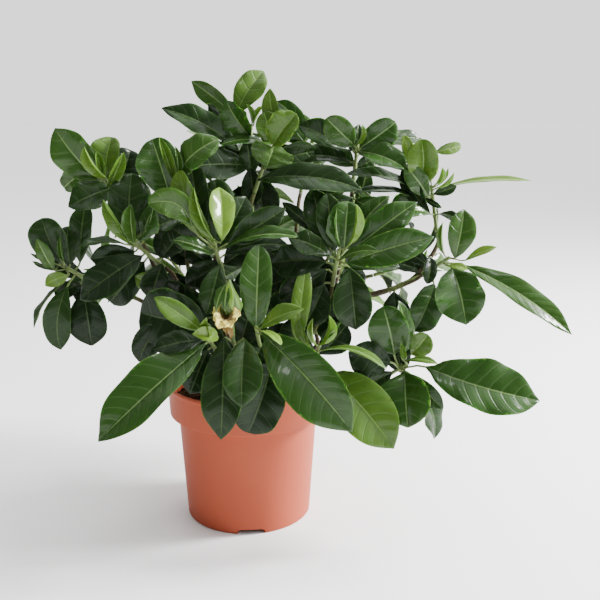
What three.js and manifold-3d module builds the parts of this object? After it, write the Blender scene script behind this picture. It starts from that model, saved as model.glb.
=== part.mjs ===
// A potted gardenia: branching woody stems with glossy leaves in a plastic nursery pot.
// Millimetres, +Z up. The origin is the centre of the pot's base, and -Y is the front.
import * as THREE from 'three';
import * as BufferGeometryUtils from 'three/addons/utils/BufferGeometryUtils.js';
import Module from 'manifold-3d';

const wasm = await Module();
wasm.setup();

// Pot
const POT_HEIGHT = 114;
const POT_BASE_RADIUS = 51.5;
const POT_BODY_RADIUS = 57.4;
const RIM_HEIGHT = 26;
const RIM_LOWER_RADIUS = 64.4;
const RIM_UPPER_RADIUS = 65.6;
const POT_WALL = 1.8;
const POT_ROUND_STEPS = 36;
const DRAIN_NOTCHES = 6;
const DRAIN_NOTCH_WIDTH = 22;
const DRAIN_NOTCH_HEIGHT = 4;
const DRAIN_NOTCH_TURN = 3;
const DRAIN_NOTCH_REACH = 16;

// Compost
const COMPOST_TOP = 100;
const COMPOST_MOUND = 3;
const COMPOST_EDGE_DROP = 2;
const COMPOST_EDGE_WIDTH = 6;
const COMPOST_MOUND_RADIUS = 30;
const COMPOST_ROUND_STEPS = 24;
const STEM_HOLE_RADIUS = 4.4;
const STEM_HOLE_SIDES = 8;

// The gap kept where two pieces touch, and the slightly wider one at the end of a stem
const FIT_GAP = 0.3;
const STEM_GAP = 0.4;

// Stems
const WOODY_RADIUS = 3.6;
const WOODY_END_SHARE = 0.75;
const WOODY_SIDES = 6;
const WOODY_STEPS = 6;
const TWIG_START_RADIUS = 2.5;
const TWIG_END_RADIUS = 1.9;
const TWIG_LEAD_IN = 8;
const SHOOT_SIDES = 5;
const SHOOT_RADIUS = 1.7;
const SHOOT_END_RADIUS = 1.3;
const YOUNG_STEM_RADIUS = 1.2;
const YOUNG_STEM_LENGTH = 5;
const ROOTED_DEPTH = 32;

// Leaves
const RIB_THICKNESS = 1.3;
const STALK_THICKNESS = 1.6;
const STALK_MIN_LENGTH = 4;
const SHORT_STALK = 6;
// A stalk starts from one of the evenly spaced places along its stem, but not from the first or the last ones
const STALK_PLACES = 24;
const FIRST_STALK_PLACE = 1;
const LAST_STALK_PLACE = 21;
// The places along a blade where its width is given, by the blade's length in mm
const BLADE_STATIONS = [
  { upTo: 26, stations: [0.4, 0.8] },
  { upTo: 66, stations: [0.25, 0.55, 0.82] },
  { upTo: Infinity, stations: [0.17, 0.38, 0.6, 0.82] },
];
const USUAL_BOW = 0.1;
const USUAL_FOLD = 14;

// Withered flower: the outline of its stalk, calyx and bud as [radius, share of the height], and its petals
const FLOWER_TOP = [228, 281, -90];
const FLOWER_STALK_RADIUS = 1.1;
const FLOWER_PROFILE = [
  [0, 0],
  [FLOWER_STALK_RADIUS, 0],
  [FLOWER_STALK_RADIUS, 0.46],
  [3.6, 0.52],
  [5.4, 0.66],
  [4.6, 0.8],
  [2, 0.95],
  [0, 1],
];
const FLOWER_SIDES = 8;
const PETALS_ALONG = 0.36;
const PETAL_RING_RADIUS = 4.2;
const PETAL_RING_HEIGHT = 4;
const PETAL_RING_BEVEL = 0.5;
const PETAL_SINK = 0.8;
const PETAL_FORM = { bow: 0.2, fold: -25, sway: 0.1, blunt: true };
const PETALS = [
  { tip: [215, 309, -92], wide: 8 },
  { tip: [212, 318, -98], wide: 8 },
  { tip: [222, 329, -104], wide: 9 },
  { tip: [236, 327, -104], wide: 9 },
  { tip: [243, 316, -98], wide: 8 },
  { tip: [239, 308, -92], wide: 7 },
];

// The picture that the shoots are placed by: 600 px wide and high, seen from in front and a little above
const PICTURE_CENTRE = 300;
const FOCAL_LENGTH = 841;
const CAMERA = new THREE.Vector3(43.6, -669, 328);
const CAMERA_PITCH = THREE.MathUtils.degToRad(12.4);

// Names for the way a leaf's upper side looks: one letter for each direction, added together
const WAYS = {
  f: new THREE.Vector3(0, -1, 0),
  b: new THREE.Vector3(0, 1, 0),
  l: new THREE.Vector3(-1, 0, 0),
  r: new THREE.Vector3(1, 0, 0),
  u: new THREE.Vector3(0, 0, 1),
  d: new THREE.Vector3(0, 0, -1),
};

// A place given as [pixels across, pixels down, depth in mm]. The depth is the place's y, so less is nearer.
function place([across, down, depth]) {
  const right = (across - PICTURE_CENTRE) / FOCAL_LENGTH;
  const up = (PICTURE_CENTRE - down) / FOCAL_LENGTH;
  const ray = new THREE.Vector3(
    right,
    Math.cos(CAMERA_PITCH) + up * Math.sin(CAMERA_PITCH),
    up * Math.cos(CAMERA_PITCH) - Math.sin(CAMERA_PITCH),
  );
  return ray.multiplyScalar((depth - CAMERA.y) / ray.y).add(CAMERA);
}

function lookingWay(letters) {
  const way = new THREE.Vector3();
  for (const letter of letters) way.add(WAYS[letter]);
  return way.normalize();
}

// One leaf: where its blade starts and ends, its width in mm, the way its upper side looks, and its form.
// bow is the midrib's arch and sway its sideways curve, both as shares of the length. fold is in degrees.
function leaf(base, tip, wide, letters, form = {}) {
  return {
    base: place(base),
    tip: place(tip),
    wide,
    upperWay: lookingWay(letters),
    bow: USUAL_BOW,
    fold: USUAL_FOLD,
    sway: 0,
    ...form,
  };
}

// Woody stems: where each is rooted in the compost, and where it forks
const WOODY_STEMS = {
  left: { root: [-26, -8], fork: [-40, -10, 136] },
  front_left: { root: [-12, -30], fork: [-15, -42, 122] },
  centre: { root: [2, 2], fork: [2, 0, 150] },
  front_right: { root: [24, -26], fork: [34, -38, 124] },
  right: { root: [34, 2], fork: [62, -10, 146] },
  back_left: { root: [-22, 28], fork: [-34, 52, 140] },
  back_right: { root: [18, 32], fork: [34, 56, 142] },
};

// Leafy shoots, each on a woody stem, from where the twig ends to the shoot's tip
const SHOOTS = [
  {
    name: 'left_top', stem: 'left', start: [124, 208, -8], apex: [107, 182, -10],
    leaves: [
      leaf([98, 182, -4], [56, 130, -16], 29, 'ffu'),
      leaf([106, 178, -6], [110, 138, 2], 20, 'fu', { blunt: true }),
      leaf([116, 186, -2], [126, 150, 10], 20, 'fr'),
      leaf([108, 190, -14], [69, 208, -30], 23, 'ffu'),
      leaf([88, 190, 2], [64, 162, 6], 11, 'f'),
    ],
    young: [
      leaf([103, 174, -16], [85, 147, -24], 7, 'fl', { fold: 50 }),
      leaf([107, 176, -18], [124, 153, -26], 8, 'fr', { fold: 40 }),
    ],
  },
  {
    name: 'left_low', stem: 'left', via: [[145, 303, -6]], start: [92, 282, 0], apex: [65, 267, 0],
    leaves: [
      leaf([74, 262, 6], [84, 205, 12], 16, 'f'),
      leaf([60, 260, 6], [40, 220, 2], 27, 'f'),
      leaf([68, 264, 2], [66, 227, 6], 15, 'f'),
      leaf([68, 284, -8], [62, 349, -18], 21, 'f'),
      leaf([82, 290, 4], [92, 345, 4], 26, 'f'),
      leaf([62, 284, 2], [33, 329, -2], 14, 'l'),
    ],
    young: [
      leaf([64, 260, -8], [58, 236, -14], 6, 'fl', { fold: 40 }),
      leaf([60, 270, -8], [47, 289, -20], 12, 'fu'),
      leaf([54, 268, -6], [37, 240, -14], 11, 'f'),
    ],
  },
  {
    name: 'left_mid', stem: 'left', start: [165, 268, -28], apex: [134, 243, -30],
    leaves: [
      leaf([130, 238, -24], [138, 173, -20], 32, 'f'),
      leaf([124, 244, -32], [79, 247, -48], 18, 'u'),
      leaf([143, 240, -34], [160, 205, -40], 10, 'f'),
      leaf([140, 258, -34], [82, 300, -46], 24, 'ffu'),
      leaf([134, 252, -28], [90, 261, -36], 12, 'fu'),
      leaf([142, 262, -22], [116, 303, -16], 20, 'f'),
    ],
    young: [
      leaf([127, 242, -38], [103, 200, -46], 8, 'fl', { fold: 40, sway: 0.1 }),
      leaf([134, 241, -40], [132, 205, -46], 10, 'f', { fold: 30 }),
      leaf([137, 235, -38], [152, 205, -46], 8, 'fr', { fold: 40 }),
    ],
  },
  {
    name: 'left_inner', stem: 'left', start: [184, 230, -14], apex: [178, 186, -20],
    leaves: [
      leaf([168, 192, -20], [152, 141, -16], 25, 'f'),
      leaf([182, 176, -26], [218, 144, -36], 15, 'ful', { bow: 0.2 }),
      leaf([179, 219, -16], [150, 232, -24], 20, 'fu'),
      leaf([182, 222, -8], [160, 258, -10], 18, 'fu'),
      leaf([186, 206, -12], [233, 198, -8], 16, 'fu'),
    ],
    young: [
      leaf([175, 184, -26], [159, 138, -32], 12, 'fr', { fold: 40 }),
      leaf([176, 180, -28], [175, 155, -36], 7, 'fr', { fold: 40 }),
    ],
  },
  {
    name: 'centre_left', stem: 'front_left', start: [224, 278, -34], apex: [215, 246, -42],
    leaves: [
      leaf([202, 238, -52], [147, 199, -66], 17, 'fu', { bow: 0.16 }),
      leaf([210, 252, -44], [172, 241, -58], 10, 'uf'),
      leaf([220, 264, -42], [209, 314, -58], 20, 'f'),
      leaf([226, 248, -44], [298, 236, -60], 14, 'uuf', { blunt: true }),
      leaf([228, 243, -40], [285, 213, -42], 14, 'fu'),
      leaf([214, 240, -34], [204, 196, -28], 20, 'f'),
    ],
    young: [
      leaf([221, 240, -50], [213, 187, -58], 21, 'ffr', { fold: 20 }),
      leaf([209, 236, -44], [182, 171, -36], 10, 'fl', { fold: 50 }),
      leaf([214, 238, -50], [195, 189, -54], 10, 'fl', { fold: 45 }),
    ],
  },
  {
    name: 'top', stem: 'centre', start: [251, 174, 14], apex: [251, 131, 14],
    leaves: [
      leaf([238, 116, 26], [192, 82, 34], 15, 'f', { bow: 0.04 }),
      leaf([253, 120, 26], [258, 70, 44], 29, 'ffu'),
      leaf([244, 138, 16], [210, 106, 14], 12, 'fl'),
      leaf([249, 132, 8], [228, 101, 0], 22, 'ffl'),
      leaf([238, 146, 14], [162, 108, -4], 18, 'uf', { bow: 0.2 }),
      leaf([246, 170, 6], [183, 170, -18], 24, 'ffu'),
      leaf([248, 160, 22], [212, 158, 26], 20, 'f'),
      leaf([256, 164, 12], [292, 167, 6], 20, 'f'),
      leaf([244, 146, 10], [222, 145, -4], 10, 'uf'),
    ],
    young: [
      leaf([252, 124, 12], [246, 104, 6], 7, 'fr', { fold: 40 }),
      leaf([254, 124, 14], [264, 106, 12], 7, 'fl', { fold: 40 }),
    ],
  },
  {
    name: 'top_centre', stem: 'centre', start: [254, 194, -4], apex: [270, 146, 0],
    leaves: [
      leaf([262, 166, -8], [292, 150, -18], 19, 'fl'),
      leaf([272, 148, -4], [294, 112, -12], 25, 'fl'),
      leaf([275, 138, 6], [270, 90, 12], 16, 'fr'),
      leaf([274, 136, 10], [313, 125, 20], 17, 'fu'),
      leaf([258, 180, -8], [360, 191, -30], 24, 'fu'),
    ],
    young: [],
  },
  {
    name: 'top_right', stem: 'right', start: [352, 192, 6], apex: [357, 150, 10],
    leaves: [
      leaf([352, 150, 12], [298, 126, 8], 17, 'fu'),
      leaf([350, 162, 12], [296, 158, 16], 20, 'fu'),
      leaf([354, 145, 6], [326, 120, -2], 15, 'f'),
      leaf([361, 147, 8], [395, 123, 2], 18, 'f'),
      leaf([364, 150, 16], [423, 140, 40], 16, 'fu'),
      leaf([358, 155, 4], [403, 172, -14], 15, 'fu'),
    ],
    young: [
      leaf([357, 145, 4], [362, 124, -4], 6, 'fr', { fold: 40 }),
    ],
  },
  {
    name: 'right_top', stem: 'right', via: [[345, 298, -16], [410, 280, -18]], start: [437, 232, -10],
    apex: [432, 192, 0],
    leaves: [
      leaf([430, 180, -6], [415, 141, -14], 22, 'f', { sway: 0.1, blunt: true }),
      leaf([437, 172, 10], [461, 147, 14], 10, 'f'),
      leaf([420, 172, 0], [403, 140, -6], 11, 'f'),
      leaf([424, 192, -6], [403, 162, -16], 15, 'f'),
      leaf([440, 190, 0], [532, 182, -20], 18, 'u'),
      leaf([427, 210, -8], [403, 171, 0], 13, 'fl'),
      leaf([416, 190, 0], [345, 175, -14], 14, 'uuf'),
      leaf([416, 198, -4], [352, 194, -24], 12, 'uuf'),
      leaf([430, 214, -10], [402, 217, -26], 13, 'u'),
      leaf([442, 214, -10], [459, 217, -34], 13, 'u'),
    ],
    young: [
      leaf([435, 184, -8], [443, 166, -14], 7, 'fr', { fold: 40 }),
      leaf([436, 188, -6], [455, 171, -14], 6, 'fr', { fold: 40 }),
    ],
  },
  {
    name: 'centre_right', stem: 'front_right', start: [332, 286, -40], apex: [338, 256, -48],
    leaves: [
      leaf([335, 250, -42], [327, 193, -38], 15, 'f'),
      leaf([344, 250, -46], [350, 202, -44], 23, 'f'),
      leaf([350, 252, -48], [417, 204, -50], 20, 'fu'),
      leaf([350, 244, -36], [392, 195, -34], 14, 'fu'),
      leaf([347, 263, -54], [433, 239, -66], 20, 'fu'),
      leaf([340, 260, -56], [379, 252, -78], 9, 'fu'),
      leaf([330, 256, -46], [290, 238, -44], 16, 'fu'),
      leaf([354, 270, -46], [358, 331, -52], 24, 'f', { bow: 0.06 }),
      leaf([326, 262, -42], [272, 264, -34], 26, 'ffu'),
      leaf([326, 270, -38], [280, 300, -34], 26, 'f'),
      leaf([324, 284, -44], [304, 326, -46], 24, 'f'),
    ],
    young: [
      leaf([348, 246, -56], [355, 207, -62], 7, 'fr', { fold: 40 }),
      leaf([342, 246, -56], [341, 215, -64], 8, 'fl', { fold: 40 }),
    ],
  },
  {
    name: 'right', stem: 'right', via: [[345, 300, -20], [378, 294, -22]], start: [422, 275, -22],
    apex: [444, 261, -24],
    leaves: [
      leaf([462, 264, -24], [571, 335, -56], 24, 'uf', { bow: 0.06, sway: -0.04 }),
      leaf([436, 275, -28], [424, 292, -50], 14, 'uf'),
      leaf([453, 270, -28], [468, 324, -50], 33, 'ffu'),
      leaf([432, 276, -24], [410, 333, -34], 20, 'f'),
      leaf([422, 288, -36], [404, 322, -42], 16, 'f'),
    ],
    young: [
      leaf([450, 256, -28], [463, 210, -34], 17, 'fr', { fold: 35 }),
      leaf([456, 262, -28], [497, 248, -38], 10, 'uf'),
      leaf([444, 254, -28], [447, 226, -36], 7, 'fl', { fold: 40 }),
    ],
  },
  {
    name: 'right_low', stem: 'front_right', start: [380, 380, -40], apex: [402, 367, -46],
    leaves: [
      leaf([398, 362, -50], [378, 308, -54], 27, 'f'),
      leaf([411, 362, -38], [430, 346, -46], 14, 'f', { blunt: true }),
      leaf([420, 374, -54], [540, 401, -70], 40, 'ffu', { bow: 0.04, sway: 0.03 }),
      leaf([403, 374, -54], [407, 427, -84], 36, 'ffu'),
      leaf([410, 374, -46], [443, 409, -54], 14, 'f'),
      leaf([410, 378, -42], [437, 440, -46], 18, 'f'),
      leaf([392, 366, -54], [347, 360, -58], 22, 'f'),
    ],
    young: [
      leaf([406, 361, -55], [440, 366, -76], 12, 'uuf'),
      leaf([404, 360, -54], [401, 340, -62], 7, 'f', { fold: 40 }),
    ],
  },
  {
    name: 'front_right', stem: 'front_right', start: [309, 374, -46], apex: [318, 350, -58],
    leaves: [
      leaf([312, 350, -58], [300, 318, -62], 9, 'fl'),
      leaf([322, 350, -60], [387, 370, -84], 16, 'u', { bow: 0.14 }),
      leaf([312, 346, -56], [307, 267, -64], 14, 'f'),
      leaf([322, 360, -56], [396, 445, -88], 35, 'ffu'),
    ],
    young: [
      leaf([320, 345, -64], [329, 315, -72], 11, 'fr', { fold: 40 }),
      leaf([316, 345, -64], [313, 318, -72], 8, 'fl', { fold: 40 }),
    ],
  },
  {
    name: 'front', stem: 'front_left', start: [262, 356, -60], apex: [257, 332, -76],
    leaves: [
      leaf([264, 338, -80], [354, 432, -114], 36, 'ffu'),
      leaf([253, 326, -71], [256, 247, -84], 25, 'ffu'),
      leaf([272, 362, -72], [238, 430, -84], 38, 'f'),
    ],
    young: [
      leaf([261, 328, -84], [306, 312, -98], 13, 'fu'),
      leaf([260, 331, -86], [281, 345, -104], 8, 'u'),
    ],
  },
  {
    name: 'flowering', stem: 'front_left', start: [240, 362, -56], apex: [234, 342, -74],
    leaves: [
      leaf([224, 344, -76], [221, 439, -98], 30, 'f'),
      leaf([244, 346, -80], [242, 409, -106], 28, 'ffu'),
    ],
    young: [],
  },
  {
    name: 'inner_left', stem: 'front_left', start: [214, 334, -20], apex: [220, 302, -22],
    leaves: [
      leaf([226, 300, -20], [241, 258, -14], 22, 'f'),
      leaf([214, 302, -18], [206, 256, -12], 20, 'f'),
      leaf([228, 314, -22], [266, 326, -22], 24, 'fu'),
      leaf([208, 318, -24], [176, 336, -32], 22, 'fu'),
      leaf([210, 326, -24], [206, 366, -30], 22, 'f'),
    ],
    young: [],
  },
  {
    name: 'inner_right', stem: 'front_right', start: [316, 334, -28], apex: [312, 302, -32],
    leaves: [
      leaf([314, 300, -26], [322, 258, -18], 22, 'f'),
      leaf([306, 308, -32], [262, 312, -34], 24, 'fu'),
      leaf([318, 306, -28], [343, 345, -26], 22, 'f'),
      leaf([308, 318, -33], [284, 350, -46], 24, 'f'),
      leaf([304, 330, -30], [258, 350, -44], 26, 'f'),
      leaf([306, 304, -28], [288, 268, -22], 20, 'f'),
    ],
    young: [],
  },
  {
    name: 'front_left', stem: 'front_left', start: [226, 364, -54], apex: [208, 338, -70],
    leaves: [
      leaf([204, 334, -66], [146, 300, -60], 32, 'fu'),
      leaf([196, 336, -66], [138, 361, -64], 18, 'f'),
      leaf([202, 340, -72], [153, 350, -90], 17, 'fu'),
      leaf([203, 343, -76], [99, 442, -110], 33, 'ffu'),
      leaf([208, 350, -68], [190, 396, -82], 15, 'f'),
    ],
    young: [
      leaf([206, 332, -80], [155, 298, -94], 13, 'fu'),
      leaf([211, 334, -80], [200, 317, -92], 11, 'f', { fold: 30 }),
      leaf([211, 337, -82], [192, 338, -98], 10, 'fu', { fold: 30 }),
    ],
  },
];

// The shoots of the far side, which the picture doesn't show. Their leaves stand round them in whorls.
const BACK_SHOOTS = [
  { name: 'back_left_low', stem: 'back_left', start: [-94, 52, 186], apex: [-122, 46, 194] },
  { name: 'back_left', stem: 'back_left', start: [-66, 104, 212], apex: [-88, 116, 230] },
  { name: 'back_left_top', stem: 'back_left', start: [-34, 58, 258], apex: [-34, 62, 290] },
  { name: 'back_centre', stem: 'back_left', start: [-6, 112, 188], apex: [-6, 136, 204] },
  { name: 'back_top', stem: 'back_right', start: [44, 60, 262], apex: [50, 66, 292] },
  { name: 'back_right', stem: 'back_right', start: [74, 100, 206], apex: [90, 118, 228] },
  { name: 'back_right_low', stem: 'back_right', start: [108, 60, 190], apex: [140, 58, 200] },
  { name: 'back_inner_left', stem: 'back_left', start: [-48, 40, 180], apex: [-64, 26, 210] },
  { name: 'back_inner_right', stem: 'back_right', start: [64, 24, 168], apex: [76, 22, 198] },
];
const FIRST_BACK_SEED = 11;
const BACK_WHORLS = 3;
const BACK_WHORL_SPACING = 11;
const BACK_WHORL_BELOW_TIP = 2;
const BACK_LEAVES_IN_WHORL = 3;
const BACK_STALK_REACH = 5;
// How far the leaves of the top whorl lean out from the stem, what each lower whorl adds, and how much varies
const BACK_LEAN = { first: 48, perWhorl: 20, varies: 8 };
const BACK_LENGTH = { first: 50, perWhorl: 7, varies: 8 };
const BACK_WIDTH = { share: 0.34, varies: 0.06 };
const BACK_BOW_VARIES = 0.05;
const BACK_TURN_VARIES = 0.06;
// A back leaf that would head further forward than this is left out: it would reach into the front shoots
const BACK_FOREMOST = -0.55;

function mulberry(seed) {
  let state = seed;
  return () => {
    state = (state + 0x6d2b79f5) | 0;
    let mixed = Math.imul(state ^ (state >>> 15), 1 | state);
    mixed = (mixed + Math.imul(mixed ^ (mixed >>> 7), 61 | mixed)) ^ mixed;
    return ((mixed ^ (mixed >>> 14)) >>> 0) / 4294967296;
  };
}

// Joining and cutting
function toSolid(geometry) {
  const bare = geometry.clone();
  bare.deleteAttribute('normal');
  bare.deleteAttribute('uv');
  const merged = BufferGeometryUtils.mergeVertices(bare, 1e-3);
  return new wasm.Manifold(new wasm.Mesh({
    numProp: 3,
    vertProperties: Float32Array.from(merged.attributes.position.array),
    triVerts: Uint32Array.from(merged.index.array),
  }));
}

function toGeometry(solid) {
  const mesh = solid.getMesh();
  const geometry = new THREE.BufferGeometry();
  geometry.setAttribute('position', new THREE.BufferAttribute(mesh.vertProperties, 3));
  geometry.setIndex(new THREE.BufferAttribute(mesh.triVerts, 1));
  geometry.computeVertexNormals();
  return geometry;
}

function joined(solids) {
  return solids.reduce((whole, piece) => whole.add(piece));
}

function roundSection(radius, sides) {
  const section = new THREE.Shape();
  for (let side = 0; side < sides; side += 1) {
    const angle = (side / sides) * 2 * Math.PI;
    const corner = [radius * Math.cos(angle), radius * Math.sin(angle)];
    if (side === 0) section.moveTo(...corner);
    else section.lineTo(...corner);
  }
  section.closePath();
  return section;
}

// A round bar along a curve that thins from one end to the other
function taperedBar(curve, startRadius, endRadius, sides, steps) {
  const bar = new THREE.ExtrudeGeometry(roundSection(startRadius, sides), {
    steps, curveSegments: 1, bevelEnabled: false, extrudePath: curve,
  });
  const rings = curve.getSpacedPoints(steps);
  const corners = bar.attributes.position;
  const corner = new THREE.Vector3();
  for (let index = 0; index < corners.count; index += 1) {
    corner.fromBufferAttribute(corners, index);
    const distances = rings.map((ring) => ring.distanceTo(corner));
    const nearest = distances.indexOf(Math.min(...distances));
    const radius = THREE.MathUtils.lerp(startRadius, endRadius, nearest / steps);
    corner.sub(rings[nearest]).multiplyScalar(radius / startRadius).add(rings[nearest]);
    corners.setXYZ(index, corner.x, corner.y, corner.z);
  }
  return toSolid(bar);
}

function acrossTo(direction, axis) {
  return direction.clone().addScaledVector(axis, -direction.dot(axis)).normalize();
}

// Half the width of a blade at a share of its length, as a share of its greatest half width
function bladeOutline(along, blunt) {
  return Math.sin(Math.PI * along ** 1.22) ** (blunt ? 0.55 : 0.7);
}

// A leaf as one thin closed body with four edges: left margin, upper midrib, right margin, lower midrib.
// Its stalk starts inside the stem at root.
function leafBody({ base, tip, wide, upperWay, bow, fold, sway, blunt }, root) {
  const length = base.distanceTo(tip);
  const axis = tip.clone().sub(base).normalize();
  const upper = acrossTo(upperWay, axis);
  const side = new THREE.Vector3().crossVectors(axis, upper);
  const middle = base.clone().lerp(tip, 0.5);
  middle.addScaledVector(upper, 2 * bow * length).addScaledVector(side, 2 * sway * length);
  const midrib = new THREE.QuadraticBezierCurve3(base, middle, tip);
  const stations = BLADE_STATIONS.find(({ upTo }) => length <= upTo).stations;
  const rise = THREE.MathUtils.degToRad(fold);
  const corners = [];

  function ring(centre, tangent, halfWidth, halfThickness, lift) {
    const normal = acrossTo(upper, tangent);
    const across = new THREE.Vector3().crossVectors(tangent, normal);
    const out = halfWidth * Math.cos(lift);
    const up = halfWidth * Math.sin(lift);
    corners.push(
      centre.clone().addScaledVector(across, -out).addScaledVector(normal, up),
      centre.clone().addScaledVector(normal, halfThickness),
      centre.clone().addScaledVector(across, out).addScaledVector(normal, up),
      centre.clone().addScaledVector(normal, -halfThickness),
    );
  }

  const stalkHalf = STALK_THICKNESS / 2;
  const stalkAxis = base.clone().sub(root).normalize();
  const bladeStart = midrib.getTangent(0);
  ring(root, stalkAxis, stalkHalf, stalkHalf, 0);
  if (root.distanceTo(base) > SHORT_STALK) {
    ring(base, stalkAxis.clone().add(bladeStart).normalize(), stalkHalf, stalkHalf, 0);
  }
  for (const along of stations) {
    const halfWidth = Math.max((wide / 2) * bladeOutline(along, blunt), stalkHalf);
    ring(midrib.getPoint(along), midrib.getTangent(along), halfWidth, RIB_THICKNESS / 2, rise);
  }
  const end = corners.push(tip) - 1;

  // The halves of the upper and the lower face are split alike, so they never cross
  const faceCorners = [0, 2, 1, 0, 3, 2];
  for (let left = 0; left + 4 < end; left += 4) {
    const [top, right, bottom] = [left + 1, left + 2, left + 3];
    const [nextLeft, nextTop, nextRight, nextBottom] = [left + 4, left + 5, left + 6, left + 7];
    faceCorners.push(
      left, nextTop, nextLeft, left, top, nextTop,
      right, nextTop, top, right, nextRight, nextTop,
      left, nextBottom, bottom, left, nextLeft, nextBottom,
      right, nextBottom, nextRight, right, bottom, nextBottom,
    );
  }
  const last = end - 4;
  for (const corner of [0, 1, 2, 3]) {
    faceCorners.push(last + corner, last + ((corner + 1) % 4), end);
  }
  const body = new THREE.BufferGeometry().setFromPoints(corners);
  body.setIndex(faceCorners);
  return toSolid(body);
}

// The place in a stem that a leaf's stalk starts from: the nearest one that leaves it a stalk
function stalkRoot(curve, base) {
  const places = curve.getSpacedPoints(STALK_PLACES).slice(FIRST_STALK_PLACE, LAST_STALK_PLACE + 1);
  const stalks = places.map((point) => point.distanceTo(base));
  const longEnough = stalks.map((length) => (length < STALK_MIN_LENGTH ? Infinity : length));
  const middle = places[longEnough.indexOf(Math.min(...longEnough))];
  return middle.clone().addScaledVector(base.clone().sub(middle).normalize(), STALK_THICKNESS / 2);
}

function leafySolid(curve, startRadius, endRadius, leaves) {
  const stem = taperedBar(curve, startRadius, endRadius, SHOOT_SIDES, 1);
  return joined([stem, ...leaves.map((one) => leafBody(one, stalkRoot(curve, one.base)))]);
}

function varied({ first, perWhorl, varies }, whorl, random) {
  return first + perWhorl * whorl + varies * random();
}

// Leaves in whorls round a shoot, the lowest longest and most spread
function whorledLeaves(start, apex, random) {
  const axis = apex.clone().sub(start).normalize();
  const sideways = acrossTo(new THREE.Vector3(1, 0.3, 0), axis);
  const leaves = [];
  for (let whorl = 0; whorl < BACK_WHORLS; whorl += 1) {
    for (let number = 0; number < BACK_LEAVES_IN_WHORL; number += 1) {
      const turns = (number + whorl / 2) / BACK_LEAVES_IN_WHORL + BACK_TURN_VARIES * random();
      const out = sideways.clone().applyAxisAngle(axis, turns * 2 * Math.PI);
      const lean = THREE.MathUtils.degToRad(varied(BACK_LEAN, whorl, random));
      const heading = axis.clone().multiplyScalar(Math.cos(lean)).addScaledVector(out, Math.sin(lean));
      if (heading.y < BACK_FOREMOST) continue;
      const down = BACK_WHORL_BELOW_TIP + BACK_WHORL_SPACING * whorl;
      const base = apex.clone().addScaledVector(axis, -down).addScaledVector(heading, BACK_STALK_REACH);
      const length = varied(BACK_LENGTH, whorl, random);
      leaves.push({
        base,
        tip: base.clone().addScaledVector(heading, length),
        wide: length * (BACK_WIDTH.share + BACK_WIDTH.varies * random()),
        upperWay: axis,
        bow: USUAL_BOW + BACK_BOW_VARIES * random(),
        fold: USUAL_FOLD,
        sway: 0,
      });
    }
  }
  return leaves;
}

const potPlastic = () => new THREE.MeshStandardMaterial({ color: 0xc4744f, roughness: 0.55, metalness: 0 });
const compostPeat = () => new THREE.MeshStandardMaterial({ color: 0x2b1d13, roughness: 0.95, metalness: 0 });
const bark = () => new THREE.MeshStandardMaterial({ color: 0x5a4a30, roughness: 0.85, metalness: 0 });
const matureLeaf = () => new THREE.MeshStandardMaterial({ color: 0x24471f, roughness: 0.3, metalness: 0 });
const youngLeaf = () => new THREE.MeshStandardMaterial({ color: 0x74a03a, roughness: 0.35, metalness: 0 });
const witheredPetal = () => new THREE.MeshStandardMaterial({ color: 0xd8bf8a, roughness: 0.7, metalness: 0 });

const gardenia = new THREE.Group();

function add(name, solid, material) {
  const mesh = new THREE.Mesh(toGeometry(solid), material);
  mesh.name = name;
  gardenia.add(mesh);
}

// Pot: one turned shell with a deep rim band, and drainage notches through the foot of its wall
function potSolid() {
  const rimFoot = POT_HEIGHT - RIM_HEIGHT;
  const profile = [
    [0, 0],
    [POT_BASE_RADIUS, 0],
    [POT_BODY_RADIUS, rimFoot],
    [RIM_LOWER_RADIUS, rimFoot],
    [RIM_UPPER_RADIUS, POT_HEIGHT - 1],
    [RIM_UPPER_RADIUS - POT_WALL / 2, POT_HEIGHT],
    [RIM_UPPER_RADIUS - POT_WALL, POT_HEIGHT - 1],
    [RIM_LOWER_RADIUS - POT_WALL, rimFoot + POT_WALL],
    [POT_BODY_RADIUS - POT_WALL, rimFoot + POT_WALL],
    [POT_BASE_RADIUS - POT_WALL, POT_WALL],
    [0, POT_WALL],
  ];
  const shell = toSolid(new THREE.LatheGeometry(
    profile.map(([radius, height]) => new THREE.Vector2(radius, height)),
    POT_ROUND_STEPS,
  ).rotateX(Math.PI / 2));
  const notches = Array.from({ length: DRAIN_NOTCHES }, (_, number) => {
    const angle = THREE.MathUtils.degToRad(DRAIN_NOTCH_TURN - 90 + (360 * number) / DRAIN_NOTCHES);
    const notch = new THREE.BoxGeometry(DRAIN_NOTCH_REACH, DRAIN_NOTCH_WIDTH, 2 * DRAIN_NOTCH_HEIGHT);
    notch.translate(POT_BASE_RADIUS, 0, 0);
    return toSolid(notch.rotateZ(angle));
  });
  return notches.reduce((whole, notch) => whole.subtract(notch), shell);
}

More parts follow.
